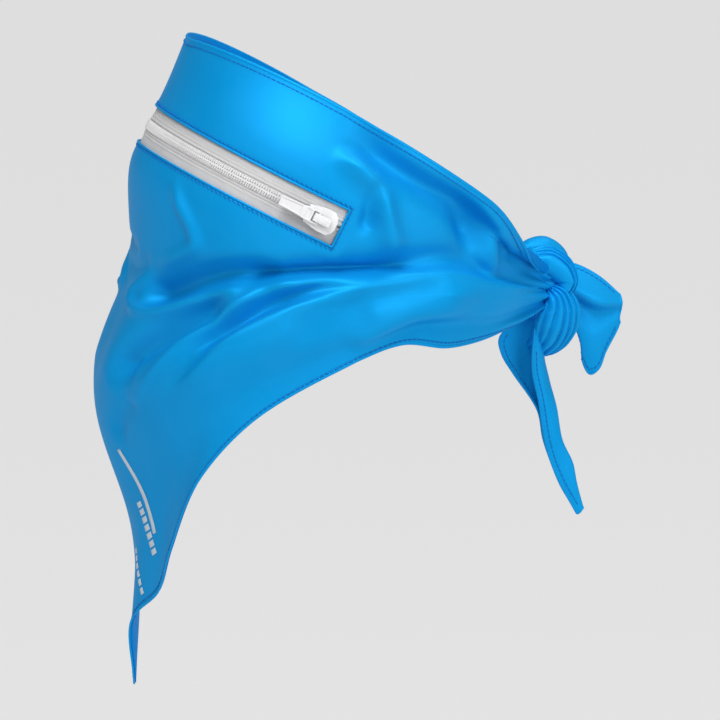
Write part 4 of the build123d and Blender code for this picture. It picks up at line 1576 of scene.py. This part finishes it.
# --- stage --------------------------------------------------------------------------------------
@dataclass
class Studio:
    """Pale floor, soft lights and the camera."""

    floor_height: float = -0.75
    aim: Point = (0.0, 0.0005, -0.110)
    distance: float = 8.0
    azimuth: float = 78.0
    elevation: float = 10.0
    lens: float = 800.0

    def build(self) -> None:
        """Make the floor, the world, the lights and the camera."""
        self.floor()
        self.world()
        self.light("key", (1.3, -0.5, 1.9), 1.1, 46.0)
        self.light("side", (2.2, 1.3, 0.6), 1.4, 22.0)
        self.light("top", (-0.2, 0.5, 1.6), 1.2, 10.0)
        self.camera()

    def floor(self) -> None:
        """Large pale floor far below."""
        bpy.ops.object.select_all(action="DESELECT")
        bpy.ops.mesh.primitive_plane_add(size=240, location=(0, 0, self.floor_height))
        floor = bpy.context.object
        floor.name = "floor"
        shader = Shader("floor_paper", Roughness=0.9, Emission_Strength=0.85)
        shader.surface.inputs["Base Color"].default_value = (0.25, 0.25, 0.25, 1)
        shader.surface.inputs["Emission Color"].default_value = (0.78, 0.78, 0.78, 1)
        floor.data.materials.append(shader.material)

    def world(self) -> None:
        """Even pale light from all round."""
        world = bpy.data.worlds.new("studio")
        world.use_nodes = True
        world.node_tree.nodes["Background"].inputs[0].default_value = (0.78, 0.78, 0.78, 1)
        world.node_tree.nodes["Background"].inputs[1].default_value = 0.25
        bpy.context.scene.world = world
        bpy.context.scene.view_settings.view_transform = "Standard"

    def light(self, name: str, place: Point, size: float, power: float) -> None:
        """One square soft light that looks at the scarf."""
        data = bpy.data.lights.new(name, "AREA")
        data.size = size
        data.energy = power
        lamp = bpy.data.objects.new(name, data)
        lamp.location = place
        lamp.rotation_euler = (Vector(self.aim) - Vector(place)).to_track_quat("-Z", "Y").to_euler()
        bpy.context.scene.collection.objects.link(lamp)

    def camera(self) -> None:
        """A long lens level with the scarf's left side."""
        data = bpy.data.cameras.new("camera")
        data.lens = self.lens
        turn, lift = math.radians(self.azimuth), math.radians(self.elevation)
        away = Vector((math.sin(turn) * math.cos(lift), -math.cos(turn) * math.cos(lift), math.sin(lift)))
        camera = bpy.data.objects.new("camera", data)
        camera.location = Vector(self.aim) + away * self.distance
        camera.rotation_euler = (-away).to_track_quat("-Z", "Y").to_euler()
        bpy.context.scene.collection.objects.link(camera)
        bpy.context.scene.camera = camera


def main() -> None:
    """Build the scarf round the frame, piece by piece."""
    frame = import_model()
    shape = ScarfShape()
    outer = shape.folded(LEFT_FOLDS + mirrored_folds(LEFT_FOLDS, 0.03, 0.8))
    satin = Satin("satin_azure").dress()
    lining = Satin("satin_lining_azure", (0.0, 0.25, 0.70), (0.0, 0.20, 0.62), roughness=0.5).dress()
    pocket = Satin("pocket_mesh", (0.62, 0.63, 0.64), (0.55, 0.56, 0.57), 0.8, 0.7, 0.2).dress()
    enamel = Moulded("slider_enamel").dress()
    ClothPanels(shape, outer, satin, lining, pocket).build()
    nylon = Moulded("coil_nylon", (0.78, 0.77, 0.77), (0.68, 0.67, 0.68), 0.5, coat=0.0).dress()
    Zip(shape, Tape().dress(), nylon, enamel, satin).build()
    Slider(shape, enamel).build()
    steel = Moulded("pawl_steel", (0.55, 0.55, 0.56), (0.42, 0.42, 0.43), 0.3, 1.0, 0.0).dress()
    for holder in frame["nodes"]["locking_pawl"].material_slots:
        holder.material = steel
    thread = Thread("thread_azure", (0.0, 0.12, 0.42), (0.0, 0.22, 0.62)).dress()
    reflective = Moulded("reflective_print", (0.62, 0.70, 0.76), (0.50, 0.62, 0.72), 0.45, 0.2, 0.0).dress()
    Sewing(shape, outer, satin, thread, reflective).build()
    Knot(satin).build()
    for tail in (TAIL_LEFT, TAIL_RIGHT):
        tail.build(satin, thread)
    Studio().build()


if __name__ == "__main__":
    logging.basicConfig(level=logging.INFO, format="%(message)s")
    main()
